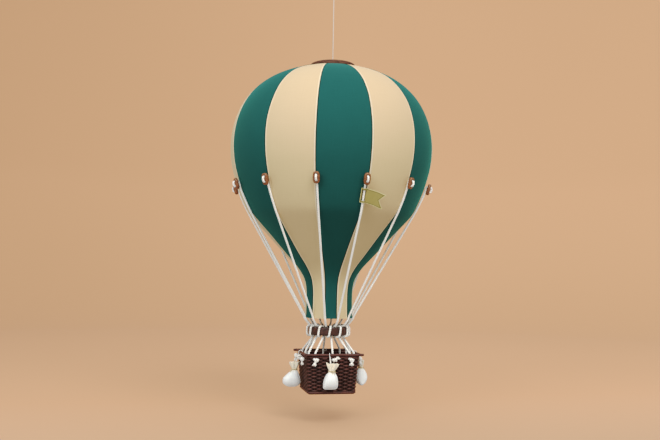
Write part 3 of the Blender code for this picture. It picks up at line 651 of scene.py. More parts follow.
outline = envelope_line()
outline_length = lengths_along(outline[:, :2])
for gore in range(GORES):
    green = gore % 2 == 0
    name = f"cloth_gore_{gore + 1:02}"
    fold = GREEN_EDGE if green else CREAM_FOLD
    points, inside, distances, marks, widths = [], [], [], [], []
    for (radius, drop, normal_out, normal_up), length in zip(outline, outline_length):
        left, right = seam_angle(gore, drop), seam_angle(gore + 1, drop)
        middle, half = (left + right) / 2, radius * (right - left) / 2
        widths.append(2 * half)
        shrink = min(1.0, half / 0.009)
        seam = [(e * 0.001 * shrink, h * 0.001 * shrink) for e, h in fold]
        plain = half - seam[-1][0]
        row = [(e - half, h) for e, h in seam[:-1]]
        row += [(plain * (2 * c / COLUMNS - 1), 0.0) for c in range(COLUMNS + 1)]
        row += [(half - e, h) for e, h in reversed(seam[:-1])]
        raised = HEM_LIFT if length > outline_length[-1] - HEM_WIDTH else 0.0
        if drop < 0.05:
            raised -= float(np.interp(radius, CROWN_RADII, CROWN_THINNING))
        for sideways, lift in row:
            angle = middle + sideways / radius
            for side, out in ((points, lift + raised), (inside, -SKIN)):
                away = radius + normal_out * out
                height = CROWN - drop + normal_up * out
                side.append((away * math.sin(angle), -away * math.cos(angle), height))
            distances.append(half - abs(sideways))
            marks.append((sideways, length))
    width, rows, behind = len(row), len(outline), len(points)
    faces = []
    for r in range(rows - 1):
        for c in range(width - 1):
            a = r * width + c
            faces.append((a, a + width, a + width + 1, a + 1))
            b = a + behind
            faces.append((b, b + 1, b + width + 1, b + width))
        a, b = r * width, r * width + width - 1
        faces.append((a, a + behind, a + behind + width, a + width))
        faces.append((b, b + width, b + behind + width, b + behind))
    for c in range(width - 1):
        a = (rows - 1) * width + c
        faces.append((a, a + behind, a + behind + 1, a + 1))
        faces.append((c, c + 1, c + 1 + behind, c + behind))
    uvs = np.array(marks + marks)[np.array(faces).reshape(-1)]
    panel = built(name, points + inside, faces, uvs, "seam_distance", distances + distances)
    panel.data.set_sharp_from_angle(angle=1.2)
    panel.data.materials.append(green_canvas if green else cream_canvas)
    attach(panel, "balloon")
    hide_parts(f"gore_{gore + 1:02}")

# Toggles
# Twelve oval wooden toggles with two holes, lacquered brown, lie on the seams below the widest line. Two are
# sewn on a little to the left. Each rope comes out of one hole, crosses the face and goes in at the other.
TOGGLE_HEIGHT = -0.316
TOGGLE_RADIUS = 0.147
TOGGLE_TILT = 15
TOGGLE_LENGTH = 0.0165
TOGGLE_WIDTH = 0.0095
TOGGLE_THICKNESS = 0.0048
TOGGLE_HOLE = 0.00205
TOGGLE_HOLE_OFFSET = 0.0037
TOGGLE_EDGE = 0.0018
TOGGLE_HOLE_EDGE = 0.0003
TOGGLE_DRIFTS = {1: -3.2, 2: -3.2}
HEM = CROWN - PROFILE[-1][1] / 1000


def rope_bearing(index, height):
    """A rope leaves its toggle beside the seam and comes back to the seam's regular bearing at the hem."""
    drift = TOGGLE_DRIFTS.get(index, 0) * (height - HEM) / (TOGGLE_HEIGHT - HEM)
    return FIRST_SEAM + GORE_ANGLE * index + drift


def toggle_frame(index):
    """A toggle's own axes: x along it and down, y across it, z out of the envelope."""
    bearing = rope_bearing(index, TOGGLE_HEIGHT)
    tilt = math.radians(TOGGLE_TILT)
    out = on_bearing(1, bearing, 0)
    down = -math.sin(tilt) * out - Vector((0, 0, math.cos(tilt)))
    normal = math.cos(tilt) * out - Vector((0, 0, math.sin(tilt)))
    place = Matrix((down, normal.cross(down), normal)).transposed().to_4x4()
    return Matrix.Translation(on_bearing(TOGGLE_RADIUS, bearing, TOGGLE_HEIGHT)) @ place


bpy.ops.object.select_all(action="DESELECT")
bpy.ops.mesh.primitive_cylinder_add(vertices=48, radius=0.5, depth=1)
toggle = fresh("toggle")
toggle.scale = (TOGGLE_LENGTH, TOGGLE_WIDTH, TOGGLE_THICKNESS)
bpy.ops.object.transform_apply(location=False, rotation=False, scale=True)
for corner in toggle.data.vertices:
    along, across = corner.co.x * 2 / TOGGLE_LENGTH, corner.co.y * 2 / TOGGLE_WIDTH
    fuller = (abs(along) ** 3 + abs(across) ** 3) ** (-1 / 3)
    corner.co.x *= fuller
    corner.co.y *= fuller
settle(toggle, rounding(TOGGLE_EDGE, segments=6))
for side in (-1, 1):
    bpy.ops.mesh.primitive_cylinder_add(
        vertices=28, radius=TOGGLE_HOLE, depth=0.02, location=(side * TOGGLE_HOLE_OFFSET, 0, 0)
    )
    drill = fresh("drill")
    settle(toggle, ("BOOLEAN", {"operation": "DIFFERENCE", "solver": "EXACT", "object": drill}))
    bpy.data.objects.remove(drill)
settle(toggle, rounding(TOGGLE_HOLE_EDGE, segments=2, angle=1.1))
toggle.data.shade_smooth()
bpy.ops.object.shade_smooth_by_angle(angle=0.6)
toggle_wood = wood(
    "toggle_wood", dye(162, 108, 74), dye(100, 61, 40), figure=900, rough=0.4, coat=0.35
)
for index in range(GORES):
    copy = bpy.data.objects.new(f"oval_toggle_{index + 1:02}", toggle.data.copy())
    copy.data.transform(toggle_frame(index))
    copy.data.materials.append(toggle_wood)
    scene.collection.objects.link(copy)
    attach(copy, "balloon")
    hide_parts(f"toggle_{index + 1:02}")
bpy.data.objects.remove(toggle)

# Load ring
# A thick ring of dark stained wood hangs under the envelope's mouth. Every rope is wound twice round it.
RING_TOP = -0.522
RING_HEIGHT = 0.0112
RING_OUTER = 0.0297
RING_INNER = 0.0222
RING_EDGE = 0.0016

ring = turned_ring("turned_load_ring", RING_OUTER, RING_INNER, RING_TOP, RING_HEIGHT, RING_EDGE)
stained_ring = wood("stained_ring", dye(90, 62, 55), dye(50, 33, 30), figure=500, rough=0.45, coat=0.25)
ring.data.materials.append(stained_ring)
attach(ring, "balloon")
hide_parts("load_ring")

# Ropes
# Twelve ropes of three-strand white cotton run from the toggles down the seams and over the mouth's edge
# to the load ring, and on to the basket. Each ends outside the wall in a knot with a frayed end.
ROPE_RADIUS = 0.00165
ROPE_LAY = 0.0098
HEM_ROPE_RADIUS = 0.0376
PENNANT_ROPE = 1
PENNANT_LIFT = 0.0044
RIM_HEIGHT = -0.56
RIM_HALF = 0.04
BASKET_TOP_HALF = 0.0395
SIDES = {"front": 0, "right": 90, "rear": 180, "left": 270}
ROPE_SPACING = 0.026
# below the rim's middle, where each rope comes out through the wall
ROPE_DROP = 0.007
KNOT_TURNS = 2.15
# across and up from each knot, in millimetres, by the rope's place on its side
TUFT_OFFSETS = [(-1.9, -4.8), (3.2, 2.0), (0.6, -4.9)]
TUFT_HAIRS = 34
HAIR_RADII = [0.00062, 0.0006, 0.00052, 0.0004, 0.00016]


def side_point(bearing, sideways, outward, height):
    """A point given from the axis towards a side of the basket, in metres."""
    angle = math.radians(bearing)
    out = Vector((math.sin(angle), -math.cos(angle), 0))
    right = Vector((math.cos(angle), math.sin(angle), 0))
    return Vector((0, 0, height)) + out * outward + right * sideways


def rope_landing(index):
    """The side that a rope lands on, which of its three ropes it is, and how far from the side's middle."""
    place = (index + 1) % 3 - 1
    return list(SIDES.values())[((index + 1) // 3) % 4], place, place * ROPE_SPACING


def rope_points(index):
    """A rope's route through its toggle, down the envelope, round the ring and through the basket's wall."""
    seam, landing = rope_bearing(index, HEM), GORE_ANGLE * index
    toggle_place = toggle_frame(index)
    hole, face = TOGGLE_HOLE_OFFSET, TOGGLE_THICKNESS / 2
    over = face + 0.0003 + ROPE_RADIUS
    points = [toggle_place @ Vector(local) for local in (
        (hole, 0, 0.0004 - face), (hole, 0, face), (hole * 0.7, 0, over), (-hole * 0.7, 0, over),
        (-hole, 0, face), (-hole, 0, -face), (-hole * 0.6, 0, -over), (TOGGLE_LENGTH * 0.55, 0, -over),
    )]
    if index == PENNANT_ROPE:
        down = (on_bearing(HEM_ROPE_RADIUS, seam, HEM) - points[-1]).normalized()
        points.append(points[-1] + down * 0.04 + toggle_place.to_3x3() @ Vector((0, 0, PENNANT_LIFT)))
    else:
        points += [
            on_bearing(radius, rope_bearing(index, CROWN - drop), CROWN - drop)
            for radius, drop in ((0.1329, 0.206), (0.1251, 0.221))
        ]
    points.append(on_bearing(HEM_ROPE_RADIUS, seam, HEM + 0.0025))
    points.append(on_bearing(HEM_ROPE_RADIUS - 0.001, seam, HEM - 0.0015))
    away = ROPE_RADIUS + 0.0003
    top, bottom = RING_TOP + away, RING_TOP - RING_HEIGHT - away
    inner, outer, soft = RING_INNER - away, RING_OUTER + away, 0.002
    points += [on_bearing(radius, landing + turn, height) for radius, height, turn in (
        (outer - 0.0035, top + 0.0003, -19.5), (inner + soft, top, -19.2), (inner, top - soft, -18.8),
        (inner, bottom + soft, -16.5), (inner + soft, bottom, -15), (outer - soft, bottom, -11),
        (outer, bottom + soft, -9.5), (outer, top - soft, -6), (outer - soft, top, -5),
        (inner + soft, top, -2.5), (inner, top - soft, -1.8), (inner, bottom + soft, -0.5),
        (inner + soft, bottom - 0.0003, 0),
    )]
    bearing, _, sideways = rope_landing(index)
    wall = BASKET_TOP_HALF - 0.003 - 0.0003 - ROPE_RADIUS
    through = RIM_HEIGHT - ROPE_DROP
    points += [side_point(bearing, sideways, outward, height) for outward, height in (
        (wall - 0.0004, RIM_HEIGHT + 0.001), (wall - 0.0005, RIM_HEIGHT - 0.0035),
        (wall + 0.0003, through + 0.001), (wall + 0.0016, through), (BASKET_TOP_HALF + 0.0018, through),
    )]
    return points


cotton = yarn("white_cotton", dye(255, 252, 244), dye(250, 244, 232), rough=0.8)
up = Vector((0, 0, 1))
for index in range(GORES):
    chance = random.Random(index)
    bundle = Bundle()
    bundle.rope(rounded(rope_points(index), 0.0028), ROPE_RADIUS, ROPE_LAY, turn=index * 1.3)
    bearing, place, sideways = rope_landing(index)
    sideways += 0.0013 if place == 0 else 0.0
    centre = side_point(bearing, sideways, BASKET_TOP_HALF + 0.0036, RIM_HEIGHT - ROPE_DROP)
    right, out = side_point(bearing, 1, 0, 0), side_point(bearing, 0, 1, 0)
    lean = chance.uniform(-0.25, 0.25)
    coil = []
    for step in range(29):
        turn = step / 28 * KNOT_TURNS
        angle = -math.pi / 2 + turn * 2 * math.pi
        across = -0.0033 + 0.0031 * turn
        lift = 0.0017 * math.cos(angle) + across * lean
        coil.append(centre + right * across + out * 0.0015 * math.sin(angle) + up * lift)
    tail_x, tail_z = (value / 1000 for value in TUFT_OFFSETS[place + 1])
    tuft = centre + right * tail_x + up * tail_z
    coil += [centre + right * tail_x * 0.5 + up * tail_z * 0.5 + out * 0.0006, tuft]
    bundle.rope(rounded(coil, 0.0012, 3), ROPE_RADIUS * 0.97, 0.007, steps=10)
    heading = (tuft - centre).normalized()
    for hair in range(TUFT_HAIRS):
        spread = right * chance.uniform(-0.75, 0.75) + out * chance.uniform(-0.45, 0.6)
        way = (heading + (spread + up * chance.uniform(-0.35, 0.35))).normalized()
        length = chance.uniform(0.0031, 0.0052)
        start = right * chance.uniform(-1, 1) + out * chance.uniform(-1, 1)
        start = tuft + start * 0.0009 - heading * 0.001
        bend = right * chance.uniform(-1, 1) + out * chance.uniform(-1, 1)
        bend = (bend + up * chance.uniform(-1, 0.4)) * 0.0008
        hairs = [start + way * length * t + bend * t * t for t in (0, 0.25, 0.5, 0.75, 1)]
        bundle.tube(hairs, HAIR_RADII, 5)
    rope = bundle.mesh(f"cotton_rope_{index + 1:02}")
    rope.data.materials.append(cotton)
    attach(rope, "balloon")
    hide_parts(f"rope_{index + 1:02}")

# Pennant
# A small swallow-tailed flag of olive cloth, with a pale edge and a dark line just inside it, is threaded on
# one rope through two slits, so the rope shows in front of it between them. It turns away from the envelope,
# and is bare.
PENNANT_HEIGHT = 0.0205
PENNANT_START = 0.0042
PENNANT_TURN = math.radians(38)
PENNANT_ROWS = [0, 1.3, 2.6, 4.4, 6.4, 8.4, 10.25, 12.1, 14.1, 16.1, 17.9, 19.2, 20.5]
PENNANT_COLUMNS = [-4.6, -3.2, -1.8, -0.6, 0.6, 1.8, 3.2, 5.6, 8, 11, 14, 17, 20, 23.4, 26, 28.5, 30.9]
PENNANT_STRAIGHT = 17
PENNANT_NOTCH = 23.4
PENNANT_TAIL = 7.5
# between these drops the cloth bends behind the rope, elsewhere before it, and it is slit below two rows
PENNANT_BEHIND = (2.6, 17.9)
PENNANT_BOW = 2.25
PENNANT_SLITS = (2.6, 16.1)

top, low = rope_points(PENNANT_ROPE)[7:9]
pennant_down = (low - top).normalized()
pennant_across = on_bearing(1, rope_bearing(PENNANT_ROPE, TOGGLE_HEIGHT) + 90, 0)
pennant_out = pennant_down.cross(pennant_across).normalized()
pennant_way = pennant_across * math.cos(PENNANT_TURN) + pennant_out * math.sin(PENNANT_TURN)
pennant_face = pennant_out * math.cos(PENNANT_TURN) - pennant_across * math.sin(PENNANT_TURN)
pennant_mesh = bmesh.new()
pennant_uv = pennant_mesh.loops.layers.uv.new("UVMap")
grid = {}
for r, drop in enumerate(PENNANT_ROWS):
    share = drop / PENNANT_ROWS[-1]
    behind = PENNANT_BEHIND[0] < drop < PENNANT_BEHIND[1]
    limit = PENNANT_NOTCH + PENNANT_TAIL * abs(2 * share - 1)
    for c, across in enumerate(PENNANT_COLUMNS):
        reach = across
        if across > PENNANT_STRAIGHT:
            outer = (across - PENNANT_STRAIGHT) / (PENNANT_COLUMNS[-1] - PENNANT_STRAIGHT)
            reach = PENNANT_STRAIGHT + outer * (limit - PENNANT_STRAIGHT)
        beyond = max(reach - 1.8, 0)
        sag = 3.2 * (beyond / 29) ** 1.3
        bow = 0.0
        if abs(across) <= 1.81:
            bow = -PENNANT_BOW if behind else PENNANT_BOW
        ripple = 0.7 * math.sin(beyond * 0.3 + share) * min(1, beyond / 10)
        point = top + pennant_down * (PENNANT_START + (drop + sag) / 1000)
        point += (pennant_across * (reach - beyond) + pennant_out * bow) / 1000
        point += (pennant_way * beyond * (1 - 0.09 * share) + pennant_face * ripple) / 1000
        vertex = pennant_mesh.verts.new(point)
        grid[r, c] = (vertex, (reach / 1000, drop / 1000))
for r in range(len(PENNANT_ROWS) - 1):
    slit = PENNANT_ROWS[r] in PENNANT_SLITS
    for c in range(len(PENNANT_COLUMNS) - 1):
        if slit and -3.3 < PENNANT_COLUMNS[c] < 3.1:
            continue
        corners = [grid[r, c], grid[r + 1, c], grid[r + 1, c + 1], grid[r, c + 1]]
        face = pennant_mesh.faces.new([corner[0] for corner in corners])
        for loop, corner in zip(face.loops, corners):
            loop[pennant_uv].uv = corner[1]
pennant_data = bpy.data.meshes.new("swallowtail_pennant")
pennant_mesh.to_mesh(pennant_data)
pennant_mesh.free()
pennant = bpy.data.objects.new("swallowtail_pennant", pennant_data)
scene.collection.objects.link(pennant)
settle(
    pennant,
    ("SOLIDIFY", {"thickness": 0.0006, "offset": 0.0}),
    ("SUBSURF", {"levels": 1, "render_levels": 1, "subdivision_type": "SIMPLE"}),
)
pennant.data.shade_smooth()
pennant.data.set_sharp_from_angle(angle=0.8)
flag, flag_tree, flag_shader = finish("olive_flag", Roughness=0.7, Sheen_Weight=0.1)
flag_uv = node(flag_tree, "UVMap", uv_map="UVMap").outputs[0]
flag_x, flag_y, _ = node(flag_tree, "SeparateXYZ", {0: flag_uv}).outputs
flag_mid = sums("ABSOLUTE", sums("SUBTRACT", flag_y, PENNANT_HEIGHT / 2))
flag_side = sums("SUBTRACT", PENNANT_HEIGHT / 2, flag_mid)
flag_left = sums("SUBTRACT", flag_x, PENNANT_COLUMNS[0] / 1000)
flag_right = sums("SUBTRACT", PENNANT_NOTCH / 1000, flag_x)
flag_notch = sums("MULTIPLY_ADD", flag_mid, 0.59, sums("MULTIPLY", flag_right, 0.807))
flag_edge = sums("MINIMUM", sums("MINIMUM", flag_side, flag_left), flag_notch)
flag_weave = node(flag_tree, "Group", {"Vector": flag_uv, "Threads": 2400.0}, node_tree=weave).outputs
flag_colour = blended(flag_weave["Slub"], dye(146, 132, 76), dye(180, 165, 104))
# a pale strip on the very edge, and a dark line about 1.3 mm inside it
flag_pale_edge = sums("LESS_THAN", flag_edge, 0.0005)
flag_colour = blended(flag_pale_edge, flag_colour, dye(214, 204, 150))
flag_line = sums("MULTIPLY", sums("COMPARE", flag_edge, 0.0013, 0.00028), 0.75)
flag_colour = blended(flag_line, flag_colour, dye(78, 64, 34))
surface(flag_shader, flag_colour, flag_weave["Height"], strength=0.3, depth=0.0002)
pennant.data.materials.append(flag)
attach(pennant, "balloon")
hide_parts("pennant")

# Basket
# A square wicker basket, stained dark brown. Flat canes pass in front of one stake and behind the next,
# each row the other way from the one below, round a board floor, and thicker rods border top and bottom.
# Where the weave lies back, the canes and stakes are painted darker as shade.
BASKET_TOP = -0.5621
BASKET_BOTTOM = -0.616
BASKET_BOTTOM_HALF = 0.0352
WALL = 0.003
STAKES = 36
STAKE_RADIUS = 0.00085
WEAVE_ROWS = 19
WEAVE_START = -0.6116
WEAVE_PITCH = 0.00256
CANE_SWING = 0.0013
CANE_RADIUS = 0.00092
CANE_FLATNESS = 1.6
# height, how far it stands out, and radius
BORDERS = [(-0.6143, 0.0006, 0.0017), (-0.5634, 0.0, 0.0018)]
BORDER_STEPS = 160
FLOOR_BOARD = (0.0676, 0.0676, 0.0026)


def basket_half(height):
    """Half of the basket's outer width at a height."""
    share = (height - BASKET_BOTTOM) / (BASKET_TOP - BASKET_BOTTOM)
    return BASKET_BOTTOM_HALF + (BASKET_TOP_HALF - BASKET_BOTTOM_HALF) * share


def on_wall(place, height, outward, corner=0.0045):
    """A point on the wall's middle layer, at a place from 0 to 1 round it, and its normal."""
    half = basket_half(height) - WALL / 2
    straight, arc = half - corner, corner * math.pi / 2
    quarter = 2 * straight + arc
    side, rest = divmod(place % 1.0 * 4 * quarter + quarter / 2, quarter)
    rest -= arc / 2
    along = min(max(rest, 0), 2 * straight)
    angle = (rest - along) / corner
    x = along - straight + corner * math.sin(angle)
    y = -straight - corner * math.cos(angle)
    turn = Matrix.Rotation(side * math.pi / 2, 3, "Z")
    normal = turn @ Vector((math.sin(angle), -math.cos(angle), 0))
    return turn @ Vector((x, y, 0)) + normal * outward + Vector((0, 0, height)), normal


def cane(across, outward):
    """The directions that a flat cane is thick and thin in, at each point of its route."""
    return np.array([tuple(way) for way in across]), np.array([tuple(way) for way in outward])


weavers = Bundle()
chance = random.Random(21)
for stake in range(STAKES):
    place = (stake + 0.5) / STAKES
    stand = [on_wall(place, h, 0.0)[0] for h in np.linspace(BASKET_BOTTOM + 0.002, BASKET_TOP, 12)]
    normal = on_wall(place, BASKET_TOP, 0.0)[1]
    level = cane([normal.cross(up)] * 12, [normal] * 12)
    # the stakes are painted darker, as shade, as they stand behind the canes
    weavers.tube(stand, STAKE_RADIUS, 6, flat=1.5, level=level, proud=0.4)
for row in range(WEAVE_ROWS):
    height = WEAVE_START + WEAVE_PITCH * row
    steps = STAKES * 6
    route, normals, depth_shade = [], [], []
    drift = chance.uniform(0, 100)
    for step in range(steps + 1):
        place = step / steps
        swing = math.cos(math.pi * (place * STAKES - 0.5))
        swing = math.copysign(abs(swing) ** 0.7, swing) * (1 if row % 2 == 0 else -1)
        wobble = noise.noise(Vector((drift, place * 60, 0)))
        point, normal = on_wall(place, height + 0.00022 * wobble, CANE_SWING * swing + 0.00015 * wobble)
        route.append(point)
        # darker where the cane passes behind a stake: painted shade in the weave's recesses, with a little
        # random tone
        depth_shade.append(0.55 + 0.4 * swing + 0.3 * wobble)
        normals.append(normal)
    level = cane([up] * len(route), normals)
    weavers.tube(route, CANE_RADIUS, 8, flat=CANE_FLATNESS, level=level, proud=depth_shade)
for height, proud, thick in BORDERS:
    places = [step / BORDER_STEPS for step in range(BORDER_STEPS + 1)]
    border, normals = zip(*(on_wall(place, height, proud) for place in places))
    weavers.tube(border, thick, 10, level=cane([up] * len(border), normals))
basket = weavers.mesh("woven_basket")
wicker, wicker_tree, wicker_shader = finish(
    "stained_wicker", Roughness=0.55, Coat_Weight=0.05, Coat_Roughness=0.3
)
wicker_uv = node(wicker_tree, "UVMap", uv_map="UVMap").outputs[0]
wicker_streak = mottle(wicker_uv, detail=3.0, stretch=(14, 60, 1))
wicker_cloud = mottle(node(wicker_tree, "TexCoord").outputs["Object"], scale=90.0, detail=2.0)
wicker_tint = sums("MULTIPLY", wicker_cloud, 2.4)
wicker_tint = sums("MULTIPLY", wicker_streak, wicker_tint, clamp=True)
# painted shade: towards the near-black colour where the weave lies back
wicker_depth_shade = node(wicker_tree, "Attribute", attribute_name="proud").outputs["Fac"]
wicker_cane = blended(wicker_tint, dye(46, 29, 27), dye(106, 68, 60))
wicker_colour = blended(wicker_depth_shade, dye(24, 16, 15), wicker_cane)
surface(wicker_shader, wicker_colour, wicker_streak, strength=0.3, depth=0.0003)
basket.data.materials.append(wicker)
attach(basket, "balloon")
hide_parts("basket")

bpy.ops.object.select_all(action="DESELECT")
bpy.ops.mesh.primitive_cube_add(size=1, location=(0, 0, BASKET_BOTTOM + 0.0018))
floor = fresh("basket_floor_board")
floor.scale = FLOOR_BOARD
bpy.ops.object.transform_apply(location=True, rotation=False, scale=True)
bpy.ops.object.mode_set(mode="EDIT")
choose(floor, "EDGE", lambda middle, edge: abs(edge.verts[0].co.z - edge.verts[1].co.z) > 0.001)
bpy.ops.mesh.bevel(offset=0.004, segments=6)
bpy.ops.object.mode_set(mode="OBJECT")
settle(floor, rounding(0.0004, segments=2))
floor.data.shade_smooth()
floor.data.set_sharp_from_angle(angle=0.7)
stained_board = wood("stained_board", dye(84, 52, 42), dye(44, 27, 22), figure=500, rough=0.5, coat=0.1)
floor.data.materials.append(stained_board)
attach(floor, "balloon")

# Rim
# Four stained rods, crossed at the corners and pinned to the top border, stiffen the basket's mouth. Their
# rounded ends stick out past the corners.
ROD_RADIUS = 0.0018
ROD_LENGTH = 0.0905
ROD_POINTS = 22
# each end is rounded in three steps: how far from the tip, and the radius there
ROD_END = [(0, 0.0007), (0.0003, 0.0013), (0.0012, 0.0017)]

rim = Bundle()
reach = ROD_LENGTH / 2
near_end = [inset - reach for inset, _ in ROD_END]
far_end = [reach - inset for inset, _ in reversed(ROD_END)]
stations = [*near_end, *np.linspace(0.004 - reach, reach - 0.004, ROD_POINTS), *far_end]
radii = [radius for _, radius in ROD_END]
radii = radii + [ROD_RADIUS] * ROD_POINTS + radii[::-1]
for bearing in SIDES.values():
    rod = []
    for sideways in stations:
        wobble = noise.noise(Vector((sideways * 60, bearing, 3.0)))
        outward, height = RIM_HALF + 0.0002 * wobble, RIM_HEIGHT + 0.0003 * wobble
        rod.append(side_point(bearing, sideways, outward, height))
    rim.tube(rod, radii, 14)
rods = rim.mesh("rim_rods")
rods.data.materials.append(wicker)
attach(rods, "balloon")
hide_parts("basket_rim")

# Sandbags
# Four little bags of white cotton hang outside the basket, one on each side. Each is sewn at the sides and
# bottom, filled, tied at the neck with beige thread, and hangs from the rim on a loop of string.
BAG_SIDE_OFFSET = -0.0055
# the left one is turned on its string until its broad face looks forward, leans and slumps, in millimetres
BAG_TURNED = "left"
BAG_LEAN = 3.2
BAG_SLUMP = 3.2
# how far down and out each hangs, in millimetres, its width and depth for its size, and its skew
BAG_HANGS = {
    "front": (-1.0, 10.2, 0.95, 1.0, 1.7), "right": (-1.0, 9.6, 1.0, 0.94, 0.8),
    "rear": (0.5, 10.2, 1.0, 1.0, -1.2), "left": (2.2, 12.6, 0.95, 1.22, 0.0),
}
# half width, half thickness and drop of the bag from its neck to its bottom seam, in millimetres
BAG_BODY = [
    (4.4, 3.1, 22.9), (4.5, 3.3, 24.0), (5.3, 4.5, 25.2), (6.6, 6.3, 27), (8.0, 7.9, 29), (9.1, 9.1, 31.4),
    (10.1, 9.8, 34.4), (10.7, 9.8, 37.5), (11.0, 9.2, 40.6), (11.0, 8.0, 43.2), (10.9, 6.3, 45.4),
    (10.4, 4.6, 46.7), (9.4, 2.9, 47.8), (7.8, 1.4, 48.5),
]
# the same for the gathered cloth above the tie
BAG_RUFFLE = [
    (4.4, 3.1, 22.9), (4.8, 3.3, 21.6), (6.0, 3.7, 19.6), (7.4, 4.1, 17.2), (8.7, 4.3, 14.8),
    (9.6, 4.3, 12.4),
]
BAG_NECK = 22.9
BAG_BOTTOM = 48.5
BAG_AROUND = 72
# the groove along each sewn seam: depth, width, and distance in from the edge
SEAM_DEPTH = 0.85
SEAM_WIDTH = 0.5
SEAM_INSET = 2.1
TIE_TURNS = 3
TIE_HEIGHT = 1.7
TIE_RADIUS = 0.00042
BOW_RADIUS = 0.00036
THREAD_TWIST = {"lay": 0.002, "strands": 2, "sides": 5, "steps": 6}
BAG_STRING_RADIUS = 0.00048
BAG_STRING_LAY = 0.0026
# half the gap between the two legs of a bag's string, and how far its loop stands off the rod's middle
LEG_OFFSET = 0.35
LOOP_REACH = 2.7


def smooth_sections(sections, steps):
    """More sections between the given ones, on a smooth curve."""
    table = np.array(sections, float)
    padded = with_ends(table)
    made = []
    for p0, p1, p2, p3 in zip(padded, padded[1:], padded[2:], padded[3:]):
        for step in range(steps):
            t = step / steps
            curve = 2 * p1 + (p2 - p0) * t + (2 * p0 - 5 * p1 + 4 * p2 - p3) * t * t
            made.append(0.5 * (curve + (3 * p1 - p0 - 3 * p2 + p3) * t**3))
    return made + [table[-1]]


def unit(value):
    """A value kept between 0 and 1."""
    return min(1.0, max(0.0, value))


def gathers(turn, counts, phases, shift=0.0):
    """Folds round a bag: waves of those counts, added up."""
    return sum(math.sin(turn * n + phase + shift) for n, phase in zip(counts, phases)) / len(counts)


def seam_groove(inset):
    """How far the cloth is drawn in by a seam, that far in from the edge."""
    return SEAM_DEPTH * math.exp(-(((inset - SEAM_INSET) / SEAM_WIDTH) ** 2))


def body_point(half_width, half_depth, drop, turn, phases):
    """A point on the filled bag, given across, out and down in millimetres."""
    c, s = math.cos(turn), math.sin(turn)
    x = half_width * math.copysign(abs(c) ** 0.72, c)
    y = half_depth * math.copysign(abs(s) ** 0.72, s)
    gather = math.exp(-(drop - 23.4) / 4.5) if drop > 23.4 else 1.0
    fold = gathers(turn, (7, 11, 15), phases[:3], drop * 0.05)
    x *= 1 + 0.10 * gather * fold
    y *= 1 + 0.13 * gather * fold
    drawn = seam_groove(half_width - abs(x)) * unit((drop - 27) / 5)
    if drop < 48:
        drawn += seam_groove(BAG_BOTTOM - drop) * abs(s) ** 0.5
    dent = noise.noise(Vector((x * 0.16 + phases[0], drop * 0.12, math.copysign(3, s))))
    return x, y + math.copysign(1, s) * (0.6 * dent * unit((48 - drop) / 5) - drawn), drop


def ruffle_point(half_width, half_depth, drop, turn, phases, skew, inner):
    """A point on the gathered cloth above the tie, on its inner or outer face."""
    c, s = math.cos(turn), math.sin(turn)
    share = (BAG_NECK - drop) / 10.5
    fold = gathers(turn, (5, 8, 13), phases[3:6])
    x = half_width * c * (1 + 0.16 * fold * min(1, share * 1.5 + 0.35))
    y = half_depth * s * (1 + 0.42 * fold * min(1, share * 1.5 + 0.25))
    flare = 0.35 * math.sin(turn * 3 + phases[6]) + 0.3 * math.sin(turn * 7 + phases[7])
    height = drop + share * (1.5 * flare - 0.5 * c * c + 0.5 * skew * c)
    if inner:
        return x * (1 - 0.45 / half_width), y * (1 - 0.5 / half_depth), height + 0.15
    return x, y, height


bag_cotton, bag_tree, bag_shader = finish(
    "bag_cotton", Roughness=0.85, Sheen_Weight=0.2, Subsurface_Weight=0.08,
    Subsurface_Radius=(0.002, 0.0017, 0.0014),
)
bag_uv = node(bag_tree, "UVMap", uv_map="UVMap").outputs[0]
bag_weave = node(bag_tree, "Group", {"Vector": bag_uv, "Threads": 2600.0}, node_tree=weave).outputs
# cream on the ruffle; below the tie the body fades from that cream to white over 3.5 mm, painted shade in
# the gathers at the tie
bag_cream_and_gather_shade = node(bag_tree, "Attribute", attribute_name="ruffle").outputs["Fac"]
bag_white = blended(bag_weave["Slub"], dye(238, 239, 234), dye(250, 250, 247))
bag_cream = blended(bag_weave["Slub"], dye(236, 224, 198), dye(250, 240, 216))
bag_colour = blended(bag_cream_and_gather_shade, bag_white, bag_cream)
surface(bag_shader, bag_colour, bag_weave["Height"], strength=0.3, depth=0.0002)
beige_thread = yarn("beige_thread", dye(222, 202, 160), dye(196, 172, 128), rough=0.8)

